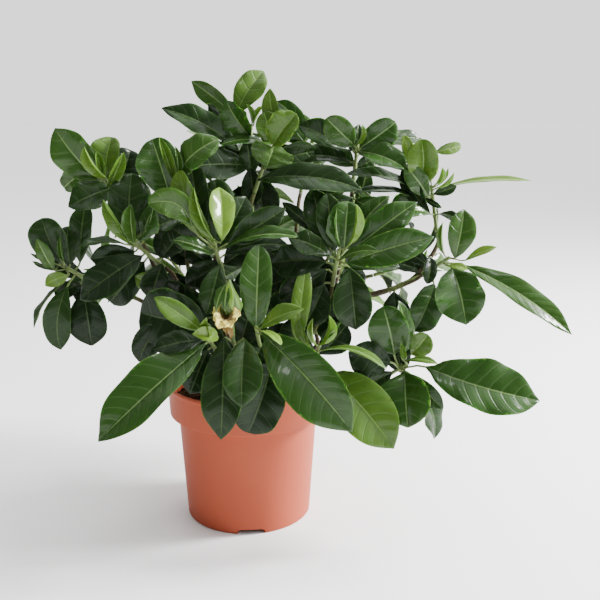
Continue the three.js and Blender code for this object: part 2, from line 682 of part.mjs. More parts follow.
// Compost: a low mound that fills the pot, with a plain hole for each woody stem
function compostSolid() {
  const inset = POT_WALL + 2 * FIT_GAP;
  const bottom = POT_WALL + FIT_GAP;
  const ledge = POT_HEIGHT - RIM_HEIGHT + POT_WALL + FIT_GAP;
  const profile = [
    [0, bottom],
    [POT_BASE_RADIUS - inset, bottom],
    [POT_BODY_RADIUS - inset, ledge],
    [RIM_LOWER_RADIUS - inset, ledge + FIT_GAP],
    [RIM_LOWER_RADIUS - inset, COMPOST_TOP - COMPOST_EDGE_DROP],
    [RIM_LOWER_RADIUS - inset - COMPOST_EDGE_WIDTH, COMPOST_TOP],
    [COMPOST_MOUND_RADIUS, COMPOST_TOP + COMPOST_MOUND / 2],
    [0, COMPOST_TOP + COMPOST_MOUND],
  ];
  const fill = toSolid(new THREE.LatheGeometry(
    profile.map(([radius, height]) => new THREE.Vector2(radius, height)),
    COMPOST_ROUND_STEPS,
  ).rotateX(Math.PI / 2));
  const depth = 2 * ROOTED_DEPTH;
  const holes = Object.values(WOODY_STEMS).map(({ root: [x, y] }) => {
    const hole = new THREE.CylinderGeometry(STEM_HOLE_RADIUS, STEM_HOLE_RADIUS, depth, STEM_HOLE_SIDES);
    hole.rotateX(Math.PI / 2);
    return toSolid(hole.translate(x, y, COMPOST_TOP - ROOTED_DEPTH - FIT_GAP + depth / 2));
  });
  return holes.reduce((whole, hole) => whole.subtract(hole), fill);
}

const toVector = (point) => new THREE.Vector3(...point);

// The line from where a twig ends to a shoot's tip, set off from the twig by the gap
function shootPlan(shoot, toPoint) {
  const start = toPoint(shoot.start);
  const apex = toPoint(shoot.apex);
  const direction = apex.clone().sub(start).normalize();
  return {
    ...shoot,
    start,
    apex,
    direction,
    via: (shoot.via ?? []).map(toPoint),
    line: new THREE.LineCurve3(start.clone().addScaledVector(direction, STEM_GAP), apex),
  };
}

// A woody stem: a rooted trunk up to its fork, and a twig from there to the start of each of its shoots
function woodySolid({ root: [x, y], fork }, shoots) {
  const forkPoint = toVector(fork);
  const trunkLine = new THREE.CatmullRomCurve3([
    new THREE.Vector3(x, y, COMPOST_TOP - ROOTED_DEPTH),
    new THREE.Vector3(x, y, COMPOST_TOP - ROOTED_DEPTH / 2),
    new THREE.Vector3(x, y, COMPOST_TOP),
    new THREE.Vector3(x, y, COMPOST_TOP + 2 * COMPOST_MOUND),
    forkPoint,
  ]);
  const trunk = taperedBar(trunkLine, WOODY_RADIUS, WOODY_RADIUS * WOODY_END_SHARE, WOODY_SIDES, WOODY_STEPS);
  const twigs = shoots.map(({ start, direction, via }) => {
    const leadIn = start.clone().addScaledVector(direction, -TWIG_LEAD_IN);
    const belowFork = forkPoint.clone().lerp(new THREE.Vector3(x, y, COMPOST_TOP), 0.1);
    const beyondFork = forkPoint.clone().lerp(leadIn, 0.1);
    const twigLine = new THREE.CatmullRomCurve3([belowFork, beyondFork, ...via, leadIn, start]);
    return taperedBar(twigLine, TWIG_START_RADIUS, TWIG_END_RADIUS, SHOOT_SIDES, WOODY_STEPS);
  });
  return joined([trunk, ...twigs]);
}

const shootPlans = [
  ...SHOOTS.map((shoot) => shootPlan(shoot, place)),
  ...BACK_SHOOTS.map((shoot, number) => {
    const plan = shootPlan(shoot, toVector);
    const random = mulberry(FIRST_BACK_SEED + number);
    return { ...plan, leaves: whorledLeaves(plan.start, plan.apex, random), young: [] };
  }),
];

// The withered flower: a green calyx with its bud on a stalk, and a ring of shrivelled petals round the stalk
function flowerSolids(foot, top) {
  const length = foot.distanceTo(top);
  const axis = top.clone().sub(foot).normalize();
  const profile = FLOWER_PROFILE.map(([radius, along]) => new THREE.Vector2(radius, along * length));
  const upright = new THREE.Quaternion().setFromUnitVectors(new THREE.Vector3(0, 1, 0), axis);
  const setUp = (geometry) => toSolid(geometry.applyQuaternion(upright).translate(foot.x, foot.y, foot.z));
  const calyx = setUp(new THREE.LatheGeometry(profile, FLOWER_SIDES));
  const ringInner = FLOWER_STALK_RADIUS + 2 * FIT_GAP;
  const ringFoot = length * PETALS_ALONG - PETAL_RING_HEIGHT / 2;
  const ringTop = ringFoot + PETAL_RING_HEIGHT;
  const ring = setUp(new THREE.LatheGeometry([
    new THREE.Vector2(ringInner, ringFoot),
    new THREE.Vector2(PETAL_RING_RADIUS, ringFoot + PETAL_RING_BEVEL),
    new THREE.Vector2(PETAL_RING_RADIUS, ringTop - PETAL_RING_BEVEL),
    new THREE.Vector2(ringInner, ringTop),
    new THREE.Vector2(ringInner, ringFoot),
  ], FLOWER_SIDES));
  const centre = foot.clone().lerp(top, PETALS_ALONG);
  const petals = PETALS.map(({ tip, wide }) => {
    const petalTip = place(tip);
    const heading = petalTip.clone().sub(centre).normalize();
    const edge = centre.clone().addScaledVector(heading, PETAL_RING_RADIUS + PETAL_SINK);
    return leafBody(
      { ...PETAL_FORM, base: edge, tip: petalTip, wide, upperWay: lookingWay('fu') },
      centre.clone().addScaledVector(heading, PETAL_RING_RADIUS - PETAL_SINK),
    );
  });
  return [calyx, joined([ring, ...petals])];
}

add('pot', potSolid(), potPlastic());
add('compost', compostSolid(), compostPeat());
for (const [name, stem] of Object.entries(WOODY_STEMS)) {
  add(`woody_stem_${name}`, woodySolid(stem, shootPlans.filter((shoot) => shoot.stem === name)), bark());
}
for (const shoot of shootPlans) {
  const leafyShoot = leafySolid(shoot.line, SHOOT_RADIUS, SHOOT_END_RADIUS, shoot.leaves);
  add(`shoot_${shoot.name}`, leafyShoot, matureLeaf());
  if (shoot.young.length === 0) continue;
  const foot = shoot.apex.clone().addScaledVector(shoot.direction, STEM_GAP);
  const line = new THREE.LineCurve3(foot, foot.clone().addScaledVector(shoot.direction, YOUNG_STEM_LENGTH));
  const tuft = leafySolid(line, YOUNG_STEM_RADIUS, YOUNG_STEM_RADIUS, shoot.young);
  add(`young_${shoot.name}`, tuft, youngLeaf());
}

const flowering = shootPlans.find((shoot) => shoot.name === 'flowering');
const flowerFoot = flowering.apex.clone().addScaledVector(flowering.direction, STEM_GAP);
const [calyx, petals] = flowerSolids(flowerFoot, place(FLOWER_TOP));
add('flower_calyx', calyx, youngLeaf());
add('withered_petals', petals, witheredPetal());

export default gardenia;
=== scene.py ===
"""A potted gardenia: glossy leaves, young tufts and one withered flower on woody stems in a nursery pot."""

import math
import random
from dataclasses import dataclass, field

import bmesh
import bpy
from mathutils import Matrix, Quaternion, Vector, noise


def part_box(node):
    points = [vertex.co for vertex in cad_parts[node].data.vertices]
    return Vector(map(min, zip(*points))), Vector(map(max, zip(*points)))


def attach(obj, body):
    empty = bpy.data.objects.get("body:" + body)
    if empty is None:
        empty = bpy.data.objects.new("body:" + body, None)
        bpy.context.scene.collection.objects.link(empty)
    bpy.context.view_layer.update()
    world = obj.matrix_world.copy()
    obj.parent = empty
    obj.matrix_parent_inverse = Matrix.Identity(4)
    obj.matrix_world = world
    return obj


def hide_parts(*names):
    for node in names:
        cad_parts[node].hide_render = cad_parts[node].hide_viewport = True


bl_info = {
    "name": "Potted gardenia",
    "version": (1, 0, 0),
    "blender": (4, 5, 0),
    "location": "3D View > Sidebar > Gardenia",
    "description": "Makes a potted gardenia around its packed model, with a plain stage",
    "category": "Add Mesh",
}

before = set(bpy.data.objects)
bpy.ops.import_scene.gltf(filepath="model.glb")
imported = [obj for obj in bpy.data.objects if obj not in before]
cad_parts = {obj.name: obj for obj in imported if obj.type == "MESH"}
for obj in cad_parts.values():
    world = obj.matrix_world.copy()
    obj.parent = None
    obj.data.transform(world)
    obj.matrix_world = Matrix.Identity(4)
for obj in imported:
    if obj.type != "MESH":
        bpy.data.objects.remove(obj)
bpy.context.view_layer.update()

MM = 0.001
ROOT_BODY = "root"

# The picture that the shoots are placed by: 600 px wide and high, seen from in front and a little above
PICTURE_WIDTH = 600
PICTURE_CENTRE = 300
FOCAL_LENGTH = 841
CAMERA_PLACE = Vector((43.6, -669, 328))
CAMERA_PITCH = math.radians(12.4)
SENSOR_WIDTH = 36

# Compost and stems, in mm
COMPOST_TOP = 100
COMPOST_MOUND = 3
ROOTED_DEPTH = 32
STEM_GAP = 0.4
TWIG_LEAD_IN = 8
YOUNG_STEM_LENGTH = 5
GREEN_STEM_ROW_SPACING = 1.6
GREEN_STEM_FEWEST_ROWS = 6
GREEN_STEM_COLUMNS = 12
SIDE_STEM_ROWS = 10
SIDE_STEM_COLUMNS = 10
# A side stem's radius at its foot and what it loses to its end, as shares of the shoot's end radius
SIDE_STEM_FOOT = 1.1
SIDE_STEM_TAPER = 0.3
# Round each stalk's root the stem is thicker, by a share of its radius
KNUCKLE_REACH = 2.2
KNUCKLE_SWELL = 0.16
MOST_KNUCKLES = 1.5

# Leaves, in mm and degrees
USUAL_BOW = 0.1
USUAL_FOLD = 14
STALK_MIN_LENGTH = 4
STALK_PLACES = 24
FIRST_STALK_PLACE = 1
LAST_STALK_PLACE = 21
# Where the corners of a blade's cross-section lie, as shares of its half width
BLADE_CORNERS = (-1, -0.86, -0.66, -0.44, -0.24, -0.09, 0, 0.09, 0.24, 0.44, 0.66, 0.86, 1)
LAST_CORNER = len(BLADE_CORNERS) - 1
# Columns round a leaf: over its upper side, and back under it
LEAF_COLUMNS = 2 * LAST_CORNER
# A blade's outline is a power of a sine: the power at the base, what is added towards the tip, and how late
BLUNT_OUTLINE = (0.45, 0.1, 8)
POINTED_OUTLINE = (0.6, 0.38, 6)
WIDEST_PLACE = 1.2
# A blade is folded most beside its midrib, and less towards its margins
FOLD_AT_MIDRIB = 1.6
FOLD_EASES = 1.2
# The order of the materials on a leafy piece
UPPER_SIDE, UNDERSIDE, STALK = range(3)
BLADE_MAP = "Blade"
LEAF_MARKS = "Leaf"
# The marks hold half a blade's width in mm, divided by this
MARKED_WIDTH = 20

# A leaf's tone, from an old leaf to a new one. It is partly painted light and shade: each leaf's tone also
# says how lit it looks, and the darkest tones paint the shade on leaves deep in the crown
TONES = {
    "deep": 0.0,
    "dark": 0.16,
    "green": 0.4,
    "olive": 0.5,
    "light": 0.66,
    "lime": 0.82,
    "bright": 1.0,
}

# Front, left, right and up: the letters of a leaf add up to the way that its upper side looks
WAYS = {
    "f": Vector((0, -1, 0)),
    "l": Vector((-1, 0, 0)),
    "r": Vector((1, 0, 0)),
    "u": Vector((0, 0, 1)),
}


@dataclass
class Leaf:
    """One leaf: its blade from base to tip, its width, the way its upper side looks, its tone and form."""

    base: Vector
    tip: Vector
    wide: float
    upper_way: Vector
    tone: float
    bow: float = USUAL_BOW
    fold: float = USUAL_FOLD
    sway: float = 0.0
    blunt: bool = False


@dataclass
class Shoot:
    """One leafy shoot on a woody stem, from where its twig ends to its tip."""

    name: str
    stem: str
    start: Vector
    apex: Vector
    via: list = field(default_factory=list)
    leaves: list = field(default_factory=list)
    young: list = field(default_factory=list)
    side: list = field(default_factory=list)

    @property
    def direction(self):
        return (self.apex - self.start).normalized()


def place(spot):
    """The point in mm at a spot of the picture: pixels across, pixels down, and depth as the point's y."""
    across, down, depth = spot
    right = (across - PICTURE_CENTRE) / FOCAL_LENGTH
    up = (PICTURE_CENTRE - down) / FOCAL_LENGTH
    ray = Vector((
        right,
        math.cos(CAMERA_PITCH) + up * math.sin(CAMERA_PITCH),
        up * math.cos(CAMERA_PITCH) - math.sin(CAMERA_PITCH),
    ))
    return CAMERA_PLACE + ray * (depth - CAMERA_PLACE.y) / ray.y


def looking_way(letters):
    return sum((WAYS[letter] for letter in letters), Vector()).normalized()


def leaf(base, tip, wide, letters, tone, **form):
    return Leaf(place(base), place(tip), wide, looking_way(letters), TONES[tone], **form)


def shoot(name, stem, start, apex, via=(), leaves=(), young=(), side=()):
    return Shoot(
        name, stem, place(start), place(apex), [place(spot) for spot in via], list(leaves), list(young),
        [[place(foot), place(tip)] for foot, tip in side],
    )


# Woody stems: where each is rooted in the compost, and where it forks, in mm
WOODY_STEMS = {
    "left": ((-26, -8), (-40, -10, 136)),
    "front_left": ((-12, -30), (-15, -42, 122)),
    "centre": ((2, 2), (2, 0, 150)),
    "front_right": ((24, -26), (34, -38, 124)),
    "right": ((34, 2), (62, -10, 146)),
    "back_left": ((-22, 28), (-34, 52, 140)),
    "back_right": ((18, 32), (34, 56, 142)),
}

# Leafy shoots of the front, by the picture
SHOOTS = [
    shoot(
        "left_top", "left", (124, 208, -8), (107, 182, -10),
        leaves=[
            leaf((100, 180, -4), (55, 128, -12), 32, "ffflu", "olive"),
            leaf((106, 178, -6), (112, 137, 2), 26, "ffu", "light", blunt=True),
            leaf((118, 190, 0), (131, 150, 10), 30, "f", "deep", blunt=True),
            leaf((112, 188, -14), (68, 207, -30), 28, "ffu", "dark"),
            leaf((84, 172, 0), (64, 188, 4), 18, "f", "olive", blunt=True),
            leaf((120, 192, 2), (82, 178, 8), 26, "f", "deep"),
            leaf((122, 204, 0), (148, 186, 16), 26, "f", "dark"),
        ],
        young=[
            leaf((106, 178, -16), (84, 146, -24), 16, "ffl", "lime", fold=34),
            leaf((102, 178, -12), (96, 152, -14), 11, "ffr", "light", fold=34),
            leaf((108, 187, -18), (124, 152, -26), 17, "ffr", "light", fold=28),
        ],
    ),
    shoot(
        "left_low", "left", (92, 282, 0), (65, 267, 0), via=[(145, 303, -6)],
        leaves=[
            leaf((80, 262, 6), (86, 200, 12), 20, "f", "dark"),
            leaf((60, 258, 6), (42, 218, 2), 32, "f", "dark", blunt=True),
            leaf((70, 264, 2), (68, 226, 6), 19, "f", "dark", blunt=True),
            leaf((67, 287, -8), (61, 350, -8), 25, "ffu", "dark", sway=0.07),
            leaf((84, 290, 4), (92, 346, 4), 33, "f", "deep"),
            leaf((62, 284, 2), (34, 329, -2), 14, "l", "dark"),
            leaf((84, 276, 10), (54, 258, 16), 17, "f", "deep"),
            leaf((80, 284, 8), (54, 292, 8), 15, "f", "deep", blunt=True),
            leaf((92, 282, 10), (78, 302, 12), 18, "f", "deep"),
            leaf((50, 262, -6), (30, 253, -8), 3, "f", "deep"),
            leaf((52, 270, -8), (32, 261, -10), 4, "f", "deep"),
        ],
        young=[
            leaf((64, 262, -8), (60, 236, -14), 8, "f", "olive", fold=34),
            leaf((68, 276, -8), (45, 286, -20), 13, "ffu", "lime"),
            leaf((54, 270, -6), (37, 239, -14), 13, "f", "olive"),
        ],
    ),
    shoot(
        "left_mid", "left", (165, 268, -28), (134, 243, -30),
        leaves=[
            leaf((131, 240, -24), (132, 173, -20), 34, "f", "dark", blunt=True),
            leaf((124, 244, -32), (79, 247, -48), 10, "uuf", "dark"),
            leaf((144, 240, -34), (158, 204, -40), 17, "fl", "green"),
            leaf((142, 256, -34), (80, 300, -46), 30, "ffu", "deep"),
            leaf((134, 252, -28), (90, 259, -36), 19, "f", "deep"),
            leaf((144, 262, -22), (110, 302, -16), 28, "f", "deep", blunt=True),
            leaf((157, 288, -34), (135, 276, -36), 15, "f", "light"),
            leaf((162, 264, -36), (150, 298, -34), 24, "f", "deep"),
            leaf((162, 258, -22), (184, 230, -10), 20, "f", "deep"),
        ],
        young=[
            leaf((128, 243, -38), (103, 199, -46), 17, "ffl", "light", fold=30, sway=0.1),
            leaf((134, 242, -40), (131, 204, -46), 18, "f", "olive", fold=26),
            leaf((138, 240, -38), (153, 206, -46), 17, "fr", "green", fold=30),
        ],
    ),
    shoot(
        "left_inner", "left", (184, 230, -14), (178, 186, -20),
        leaves=[
            leaf((170, 196, -20), (152, 139, -16), 34, "f", "green", blunt=True),
            leaf((180, 173, -26), (219, 139, -36), 26, "fl", "olive", bow=0.2, blunt=True),
            leaf((179, 219, -16), (150, 232, -24), 20, "fu", "dark"),
            leaf((182, 222, -8), (160, 258, -10), 22, "fu", "deep"),
            leaf((188, 212, -12), (236, 194, -8), 20, "fu", "dark"),
            leaf((176, 204, -6), (146, 218, 4), 24, "f", "deep"),
            leaf((190, 224, 0), (206, 256, 6), 20, "f", "deep"),
        ],
        young=[
            leaf((175, 184, -26), (159, 137, -32), 14, "ffr", "light", fold=30),
            leaf((177, 182, -28), (175, 146, -36), 11, "ffr", "olive", fold=34),
        ],
    ),
    shoot(
        "centre_left", "front_left", (224, 278, -34), (215, 246, -42),
        leaves=[
            leaf((192, 226, -52), (148, 204, -58), 23, "fffu", "olive", sway=0.22, blunt=True),
            leaf((212, 254, -44), (172, 240, -58), 14, "uf", "green"),
            leaf((220, 264, -42), (206, 316, -54), 20, "f", "dark"),
            leaf((226, 248, -44), (298, 237, -60), 15, "uuf", "green", blunt=True),
            leaf((228, 243, -40), (286, 208, -42), 22, "f", "dark"),
            leaf((216, 240, -34), (216, 179, -26), 30, "f", "dark", blunt=True),
            leaf((204, 232, -36), (190, 160, -22), 20, "f", "deep", blunt=True),
            leaf((222, 262, -36), (186, 284, -34), 22, "f", "deep"),
            leaf((218, 250, -32), (246, 196, -16), 26, "f", "dark"),
            leaf((208, 246, -36), (172, 228, -26), 20, "f", "deep"),
            leaf((224, 264, -28), (258, 240, -20), 24, "f", "deep"),
            leaf((214, 266, -28), (186, 246, -22), 18, "f", "deep"),
            leaf((226, 254, -32), (290, 246, -24), 18, "uf", "deep"),
        ],
        young=[
            leaf((222, 240, -54), (219, 187, -36), 21, "ffru", "lime", fold=16),
            leaf((210, 238, -44), (180, 170, -38), 24, "ffl", "light", fold=18, blunt=True),
            leaf((214, 241, -51), (194, 187, -54), 15, "ffl", "light", fold=32),
        ],
    ),
    shoot(
        "top", "centre", (251, 174, 14), (251, 131, 14),
        leaves=[
            leaf((236, 116, 26), (191, 81, 34), 16, "f", "olive", bow=0.04),
            leaf((236, 114, 26), (264, 71, 40), 25, "ffu", "light"),
            leaf((244, 140, 16), (208, 103, 14), 15, "fl", "dark"),
            leaf((250, 136, 8), (226, 100, 0), 25, "ffl", "green"),
            leaf((238, 150, 14), (161, 108, -4), 23, "ffu", "dark", bow=0.16),
            leaf((248, 166, 6), (182, 168, -18), 31, "ffu", "dark"),
            leaf((248, 160, 22), (212, 158, 26), 24, "f", "dark"),
            leaf((256, 164, 12), (302, 156, 20), 24, "f", "deep"),
            leaf((264, 142, 10), (220, 145, -4), 13, "uf", "green"),
            leaf((250, 184, 18), (236, 214, 26), 24, "f", "deep"),
            leaf((252, 174, 8), (247, 140, 2), 17, "f", "dark"),
            leaf((258, 176, 18), (264, 215, 28), 34, "f", "deep", blunt=True),
            leaf((250, 168, 6), (254, 206, 0), 18, "f", "deep"),
        ],
        young=[
            leaf((252, 124, 12), (246, 104, 6), 9, "fr", "light", fold=34),
            leaf((254, 124, 14), (264, 106, 12), 9, "fl", "lime", fold=34),
        ],
        side=[((251, 230, 8), (254, 188, 16))],
    ),
    shoot(
        "top_centre", "centre", (254, 194, -4), (270, 146, 0),
        leaves=[
            leaf((266, 168, -8), (274, 144, 0), 35, "ff", "olive", fold=8, blunt=True),
            leaf((273, 146, -4), (297, 114, -12), 26, "ffl", "light", fold=24, blunt=True),
            leaf((281, 136, 6), (270, 88, 12), 15, "ffl", "light"),
            leaf((306, 139, 10), (276, 101, 16), 17, "ffu", "green", sway=0.06),
            leaf((274, 132, 10), (314, 124, 20), 24, "ff", "green"),
            leaf((258, 180, -8), (362, 190, -30), 28, "fu", "dark"),
            leaf((270, 160, 6), (318, 150, 16), 22, "f", "dark"),
            leaf((272, 146, 4), (264, 112, 4), 20, "f", "light", blunt=True),
        ],
    ),
    shoot(
        "top_right", "right", (352, 192, 6), (357, 150, 10),
        leaves=[
            leaf((352, 150, 12), (297, 125, 8), 22, "ffu", "dark"),
            leaf((350, 162, 12), (296, 158, 16), 22, "fu", "dark"),
            leaf((354, 145, 6), (326, 118, -2), 22, "f", "olive", blunt=True),
            leaf((361, 147, 8), (396, 122, 2), 24, "f", "green", blunt=True),
            leaf((364, 150, 16), (423, 140, 40), 18, "fu", "dark"),
            leaf((358, 152, 4), (407, 170, -14), 25, "fu", "green"),
            leaf((354, 166, 16), (322, 142, 24), 22, "f", "green"),
            leaf((356, 168, 14), (376, 158, 20), 16, "f", "dark"),
            leaf((350, 180, 10), (318, 192, 6), 18, "f", "dark"),
            leaf((352, 198, 2), (322, 214, 4), 24, "f", "dark"),
            leaf((356, 200, 0), (384, 216, 4), 24, "f", "green"),
            leaf((358, 156, 14), (359, 124, 18), 13, "f", "dark"),
        ],
        young=[
            leaf((357, 145, 4), (362, 124, -4), 8, "fr", "lime", fold=34),
        ],
        side=[((350, 224, 0), (354, 194, 4))],
    ),
    shoot(
        "right_top", "right", (437, 232, -10), (432, 192, 0),
        via=[(345, 300, -22), (380, 292, -23), (412, 279, -20)],
        leaves=[
            leaf((419, 184, -6), (421, 139, -14), 28, "ffu", "light", fold=24, sway=0.08, blunt=True),
            leaf((436, 152, 4), (461, 146, 10), 10, "f", "light", blunt=True),
            leaf((410, 166, 0), (404, 135, -6), 10, "f", "lime", blunt=True),
            leaf((428, 196, -6), (404, 164, -16), 18, "f", "green"),
            leaf((440, 188, 0), (532, 181, -12), 9, "uuf", "lime", bow=0.05),
            leaf((430, 214, -8), (402, 168, 0), 18, "fl", "deep"),
            leaf((416, 190, 0), (344, 175, -14), 17, "uuf", "dark"),
            leaf((416, 198, -4), (352, 194, -24), 14, "uuf", "dark"),
            leaf((430, 214, -10), (392, 214, -26), 13, "uf", "green"),
            leaf((440, 214, -10), (459, 221, -20), 9, "uf", "dark"),
            leaf((434, 194, -2), (457, 186, -4), 9, "f", "dark"),
            leaf((426, 200, 4), (390, 206, 10), 20, "f", "green"),
            leaf((424, 198, -4), (442, 208, -12), 5, "f", "deep"),
        ],
        young=[
            leaf((436, 184, -8), (442, 167, -14), 8, "fr", "bright", fold=34),
            leaf((437, 188, -6), (454, 172, -14), 6, "fr", "bright", fold=34),
            leaf((436, 186, -4), (448, 167, -2), 5, "fr", "lime", fold=34),
        ],
    ),
    shoot(
        "centre_right", "front_right", (332, 286, -40), (338, 256, -48),
        leaves=[
            leaf((335, 250, -42), (327, 192, -38), 22, "f", "dark"),
            leaf((344, 250, -46), (348, 201, -44), 27, "f", "green", blunt=True),
            leaf((350, 252, -48), (417, 202, -50), 24, "ffu", "green"),
            leaf((350, 244, -36), (390, 196, -34), 18, "fu", "green"),
            leaf((347, 263, -54), (434, 237, -66), 27, "ffu", "green"),
            leaf((340, 260, -56), (379, 251, -78), 11, "fu", "olive"),
            leaf((330, 256, -46), (288, 238, -44), 20, "fu", "dark"),
            leaf((350, 268, -46), (356, 330, -52), 32, "f", "dark", bow=0.06),
            leaf((326, 262, -42), (270, 264, -34), 28, "ffu", "deep"),
            leaf((326, 270, -38), (280, 300, -34), 28, "f", "deep"),
            leaf((324, 284, -44), (304, 326, -46), 24, "f", "deep"),
            leaf((332, 252, -36), (312, 187, -22), 24, "f", "dark"),
            leaf((344, 268, -40), (400, 267, -36), 19, "uf", "dark"),
            leaf((340, 276, -36), (366, 280, -30), 18, "f", "deep"),
            leaf((334, 280, -34), (334, 318, -32), 20, "f", "deep"),
            leaf((318, 234, -30), (282, 202, -22), 11, "f", "deep"),
        ],
        young=[
            leaf((348, 246, -56), (356, 204, -62), 13, "fr", "bright", fold=30),
            leaf((340, 246, -56), (337, 208, -64), 15, "fl", "green", fold=30),
        ],
    ),
    shoot(
        "right", "right", (422, 275, -22), (444, 261, -24), via=[(345, 300, -20), (378, 294, -22)],
        leaves=[
            leaf((462, 265, -24), (572, 335, -56), 22, "uf", "olive", bow=0.06, sway=-0.036),
            leaf((430, 257, -28), (427, 284, -40), 12, "f", "deep", blunt=True),
            leaf((452, 268, -28), (466, 325, -50), 40, "ffu", "green"),
            leaf((434, 284, -24), (414, 332, -34), 27, "f", "dark", blunt=True),
            leaf((394, 292, -24), (398, 326, -30), 22, "f", "deep"),
            leaf((426, 274, -18), (384, 262, -10), 14, "fu", "deep"),
            leaf((432, 268, -20), (404, 250, -12), 12, "f", "deep"),
        ],
        young=[
            leaf((455, 258, -28), (464, 209, -22), 23, "fffu", "olive", fold=22),
            leaf((466, 260, -28), (497, 247, -38), 8, "uf", "bright"),
            leaf((444, 254, -28), (443, 222, -36), 9, "fl", "light", fold=34),
            leaf((448, 266, -34), (468, 270, -40), 7, "uf", "bright"),
        ],
    ),
    shoot(
        "right_low", "front_right", (380, 380, -40), (402, 367, -46),
        leaves=[
            leaf((394, 354, -50), (383, 306, -54), 32, "f", "green", blunt=True),
            leaf((411, 354, -38), (428, 334, -46), 21, "fffu", "light", blunt=True),
            leaf((426, 367, -54), (540, 401, -70), 42, "ffu", "green", bow=0.06, sway=0.03),
            leaf((405, 372, -54), (408, 428, -74), 47, "fffl", "green", fold=7),
            leaf((410, 374, -46), (443, 409, -54), 16, "f", "dark"),
            leaf((412, 382, -42), (434, 439, -46), 26, "rfu", "dark", bow=0.16),
            leaf((390, 362, -54), (348, 352, -58), 30, "f", "deep"),
            leaf((404, 358, -44), (398, 300, -44), 22, "fr", "green"),
            leaf((392, 372, -44), (362, 384, -40), 16, "f", "dark"),
            leaf((402, 373, -44), (396, 340, -36), 22, "f", "deep"),
        ],
        young=[
            leaf((406, 361, -55), (438, 364, -76), 9, "uuf", "light"),
            leaf((404, 360, -54), (401, 342, -62), 9, "f", "light", fold=34),
        ],
    ),
    shoot(
        "front_right", "front_right", (309, 374, -46), (318, 350, -58),
        leaves=[
            leaf((312, 350, -58), (300, 318, -62), 12, "fl", "light"),
            leaf((322, 350, -60), (387, 370, -84), 12, "u", "light", bow=0.14),
            leaf((297, 344, -56), (306, 266, -46), 15, "ff", "light", sway=-0.02, blunt=True),
            leaf((326, 372, -56), (394, 449, -88), 42, "ffu", "light"),
            leaf((320, 354, -44), (347, 324, -36), 24, "f", "deep"),
            leaf((310, 366, -40), (290, 336, -34), 26, "f", "deep"),
        ],
        young=[
            leaf((320, 345, -64), (329, 315, -72), 14, "fr", "bright", fold=34),
            leaf((316, 345, -64), (313, 318, -72), 9, "fl", "lime", fold=34),
            leaf((320, 344, -64), (341, 322, -70), 5, "f", "light", fold=34),
        ],
    ),
    shoot(
        "front", "front_left", (262, 356, -60), (257, 332, -76),
        leaves=[
            leaf((262, 334, -80), (352, 432, -114), 43, "fffu", "green"),
            leaf((256, 328, -71), (259, 245, -60), 24, "ff", "green", blunt=True),
            leaf((262, 344, -66), (250, 374, -70), 20, "f", "dark"),
            leaf((272, 362, -72), (248, 433, -84), 40, "f", "deep", blunt=True),
            leaf((268, 352, -58), (290, 344, -60), 18, "f", "green"),
        ],
        young=[
            leaf((261, 328, -84), (304, 309, -96), 16, "fu", "light"),
            leaf((261, 331, -86), (281, 345, -104), 9, "u", "bright", blunt=True),
        ],
    ),
    shoot(
        "flowering", "front_left", (240, 362, -56), (234, 342, -74),
        leaves=[
            leaf((224, 338, -76), (221, 440, -98), 31, "f", "dark"),
            leaf((245, 340, -80), (242, 408, -106), 30, "ffu", "dark"),
            leaf((232, 348, -62), (214, 316, -56), 22, "f", "deep"),
            leaf((240, 346, -62), (250, 312, -58), 24, "f", "deep"),
        ],
    ),
    # Leaves inside the crown, all in the darkest tone: partly the old leaves' own green, partly painted shade
    shoot(
        "inner_left", "front_left", (214, 334, -20), (220, 302, -22),
        leaves=[
            leaf((222, 302, -20), (232, 279, -16), 22, "f", "deep"),
            leaf((214, 302, -18), (204, 256, -12), 26, "f", "deep"),
            leaf((228, 314, -22), (266, 326, -22), 26, "fu", "deep"),
            leaf((208, 318, -24), (176, 336, -32), 24, "fu", "deep"),
            leaf((210, 326, -24), (206, 366, -30), 24, "f", "deep"),
            leaf((226, 318, -18), (236, 360, -20), 26, "f", "deep"),
            leaf((232, 296, -14), (262, 270, -6), 24, "f", "deep"),
            leaf((234, 322, -20), (270, 344, -24), 26, "f", "deep"),
            leaf((198, 288, -8), (158, 284, -2), 24, "f", "deep"),
            leaf((196, 262, -6), (170, 246, 2), 18, "f", "deep"),
            leaf((206, 300, -14), (190, 346, -16), 26, "f", "deep"),
            leaf((196, 300, -12), (146, 318, -14), 30, "f", "deep"),
            leaf((202, 296, -12), (168, 300, -10), 24, "f", "deep"),
            leaf((212, 296, -12), (232, 300, -10), 22, "f", "deep"),
        ],
        side=[((216, 322, -20), (194, 272, -4)), ((220, 306, -21), (236, 282, -8))],
    ),
    # Leaves inside the crown, nearly all in the darkest tone: partly the old leaves' own green, partly
    # painted shade
    shoot(
        "inner_right", "front_right", (316, 334, -28), (312, 302, -32),
        leaves=[
            leaf((314, 300, -26), (322, 258, -18), 24, "f", "deep"),
            leaf((306, 308, -32), (262, 312, -34), 26, "fu", "deep"),
            leaf((318, 306, -28), (343, 345, -26), 24, "f", "deep"),
            leaf((308, 318, -33), (284, 350, -46), 26, "f", "deep"),
            leaf((304, 330, -30), (258, 350, -44), 28, "f", "deep"),
            leaf((306, 304, -28), (288, 268, -22), 24, "f", "deep"),
            leaf((296, 270, -10), (266, 248, -4), 26, "f", "deep"),
            leaf((292, 276, -12), (262, 288, -10), 24, "f", "deep"),
            leaf((318, 318, -22), (328, 282, -12), 22, "f", "deep"),
            leaf((300, 264, -8), (318, 236, 0), 20, "f", "dark"),
        ],
        side=[((313, 312, -31), (294, 266, -10))],
    ),
    shoot(
        "front_left", "front_left", (226, 364, -54), (208, 338, -70),
        leaves=[
            leaf((206, 322, -60), (140, 312, -52), 48, "f", "deep", blunt=True),
            leaf((172, 318, -52), (139, 362, -56), 23, "f", "deep", sway=0.12),
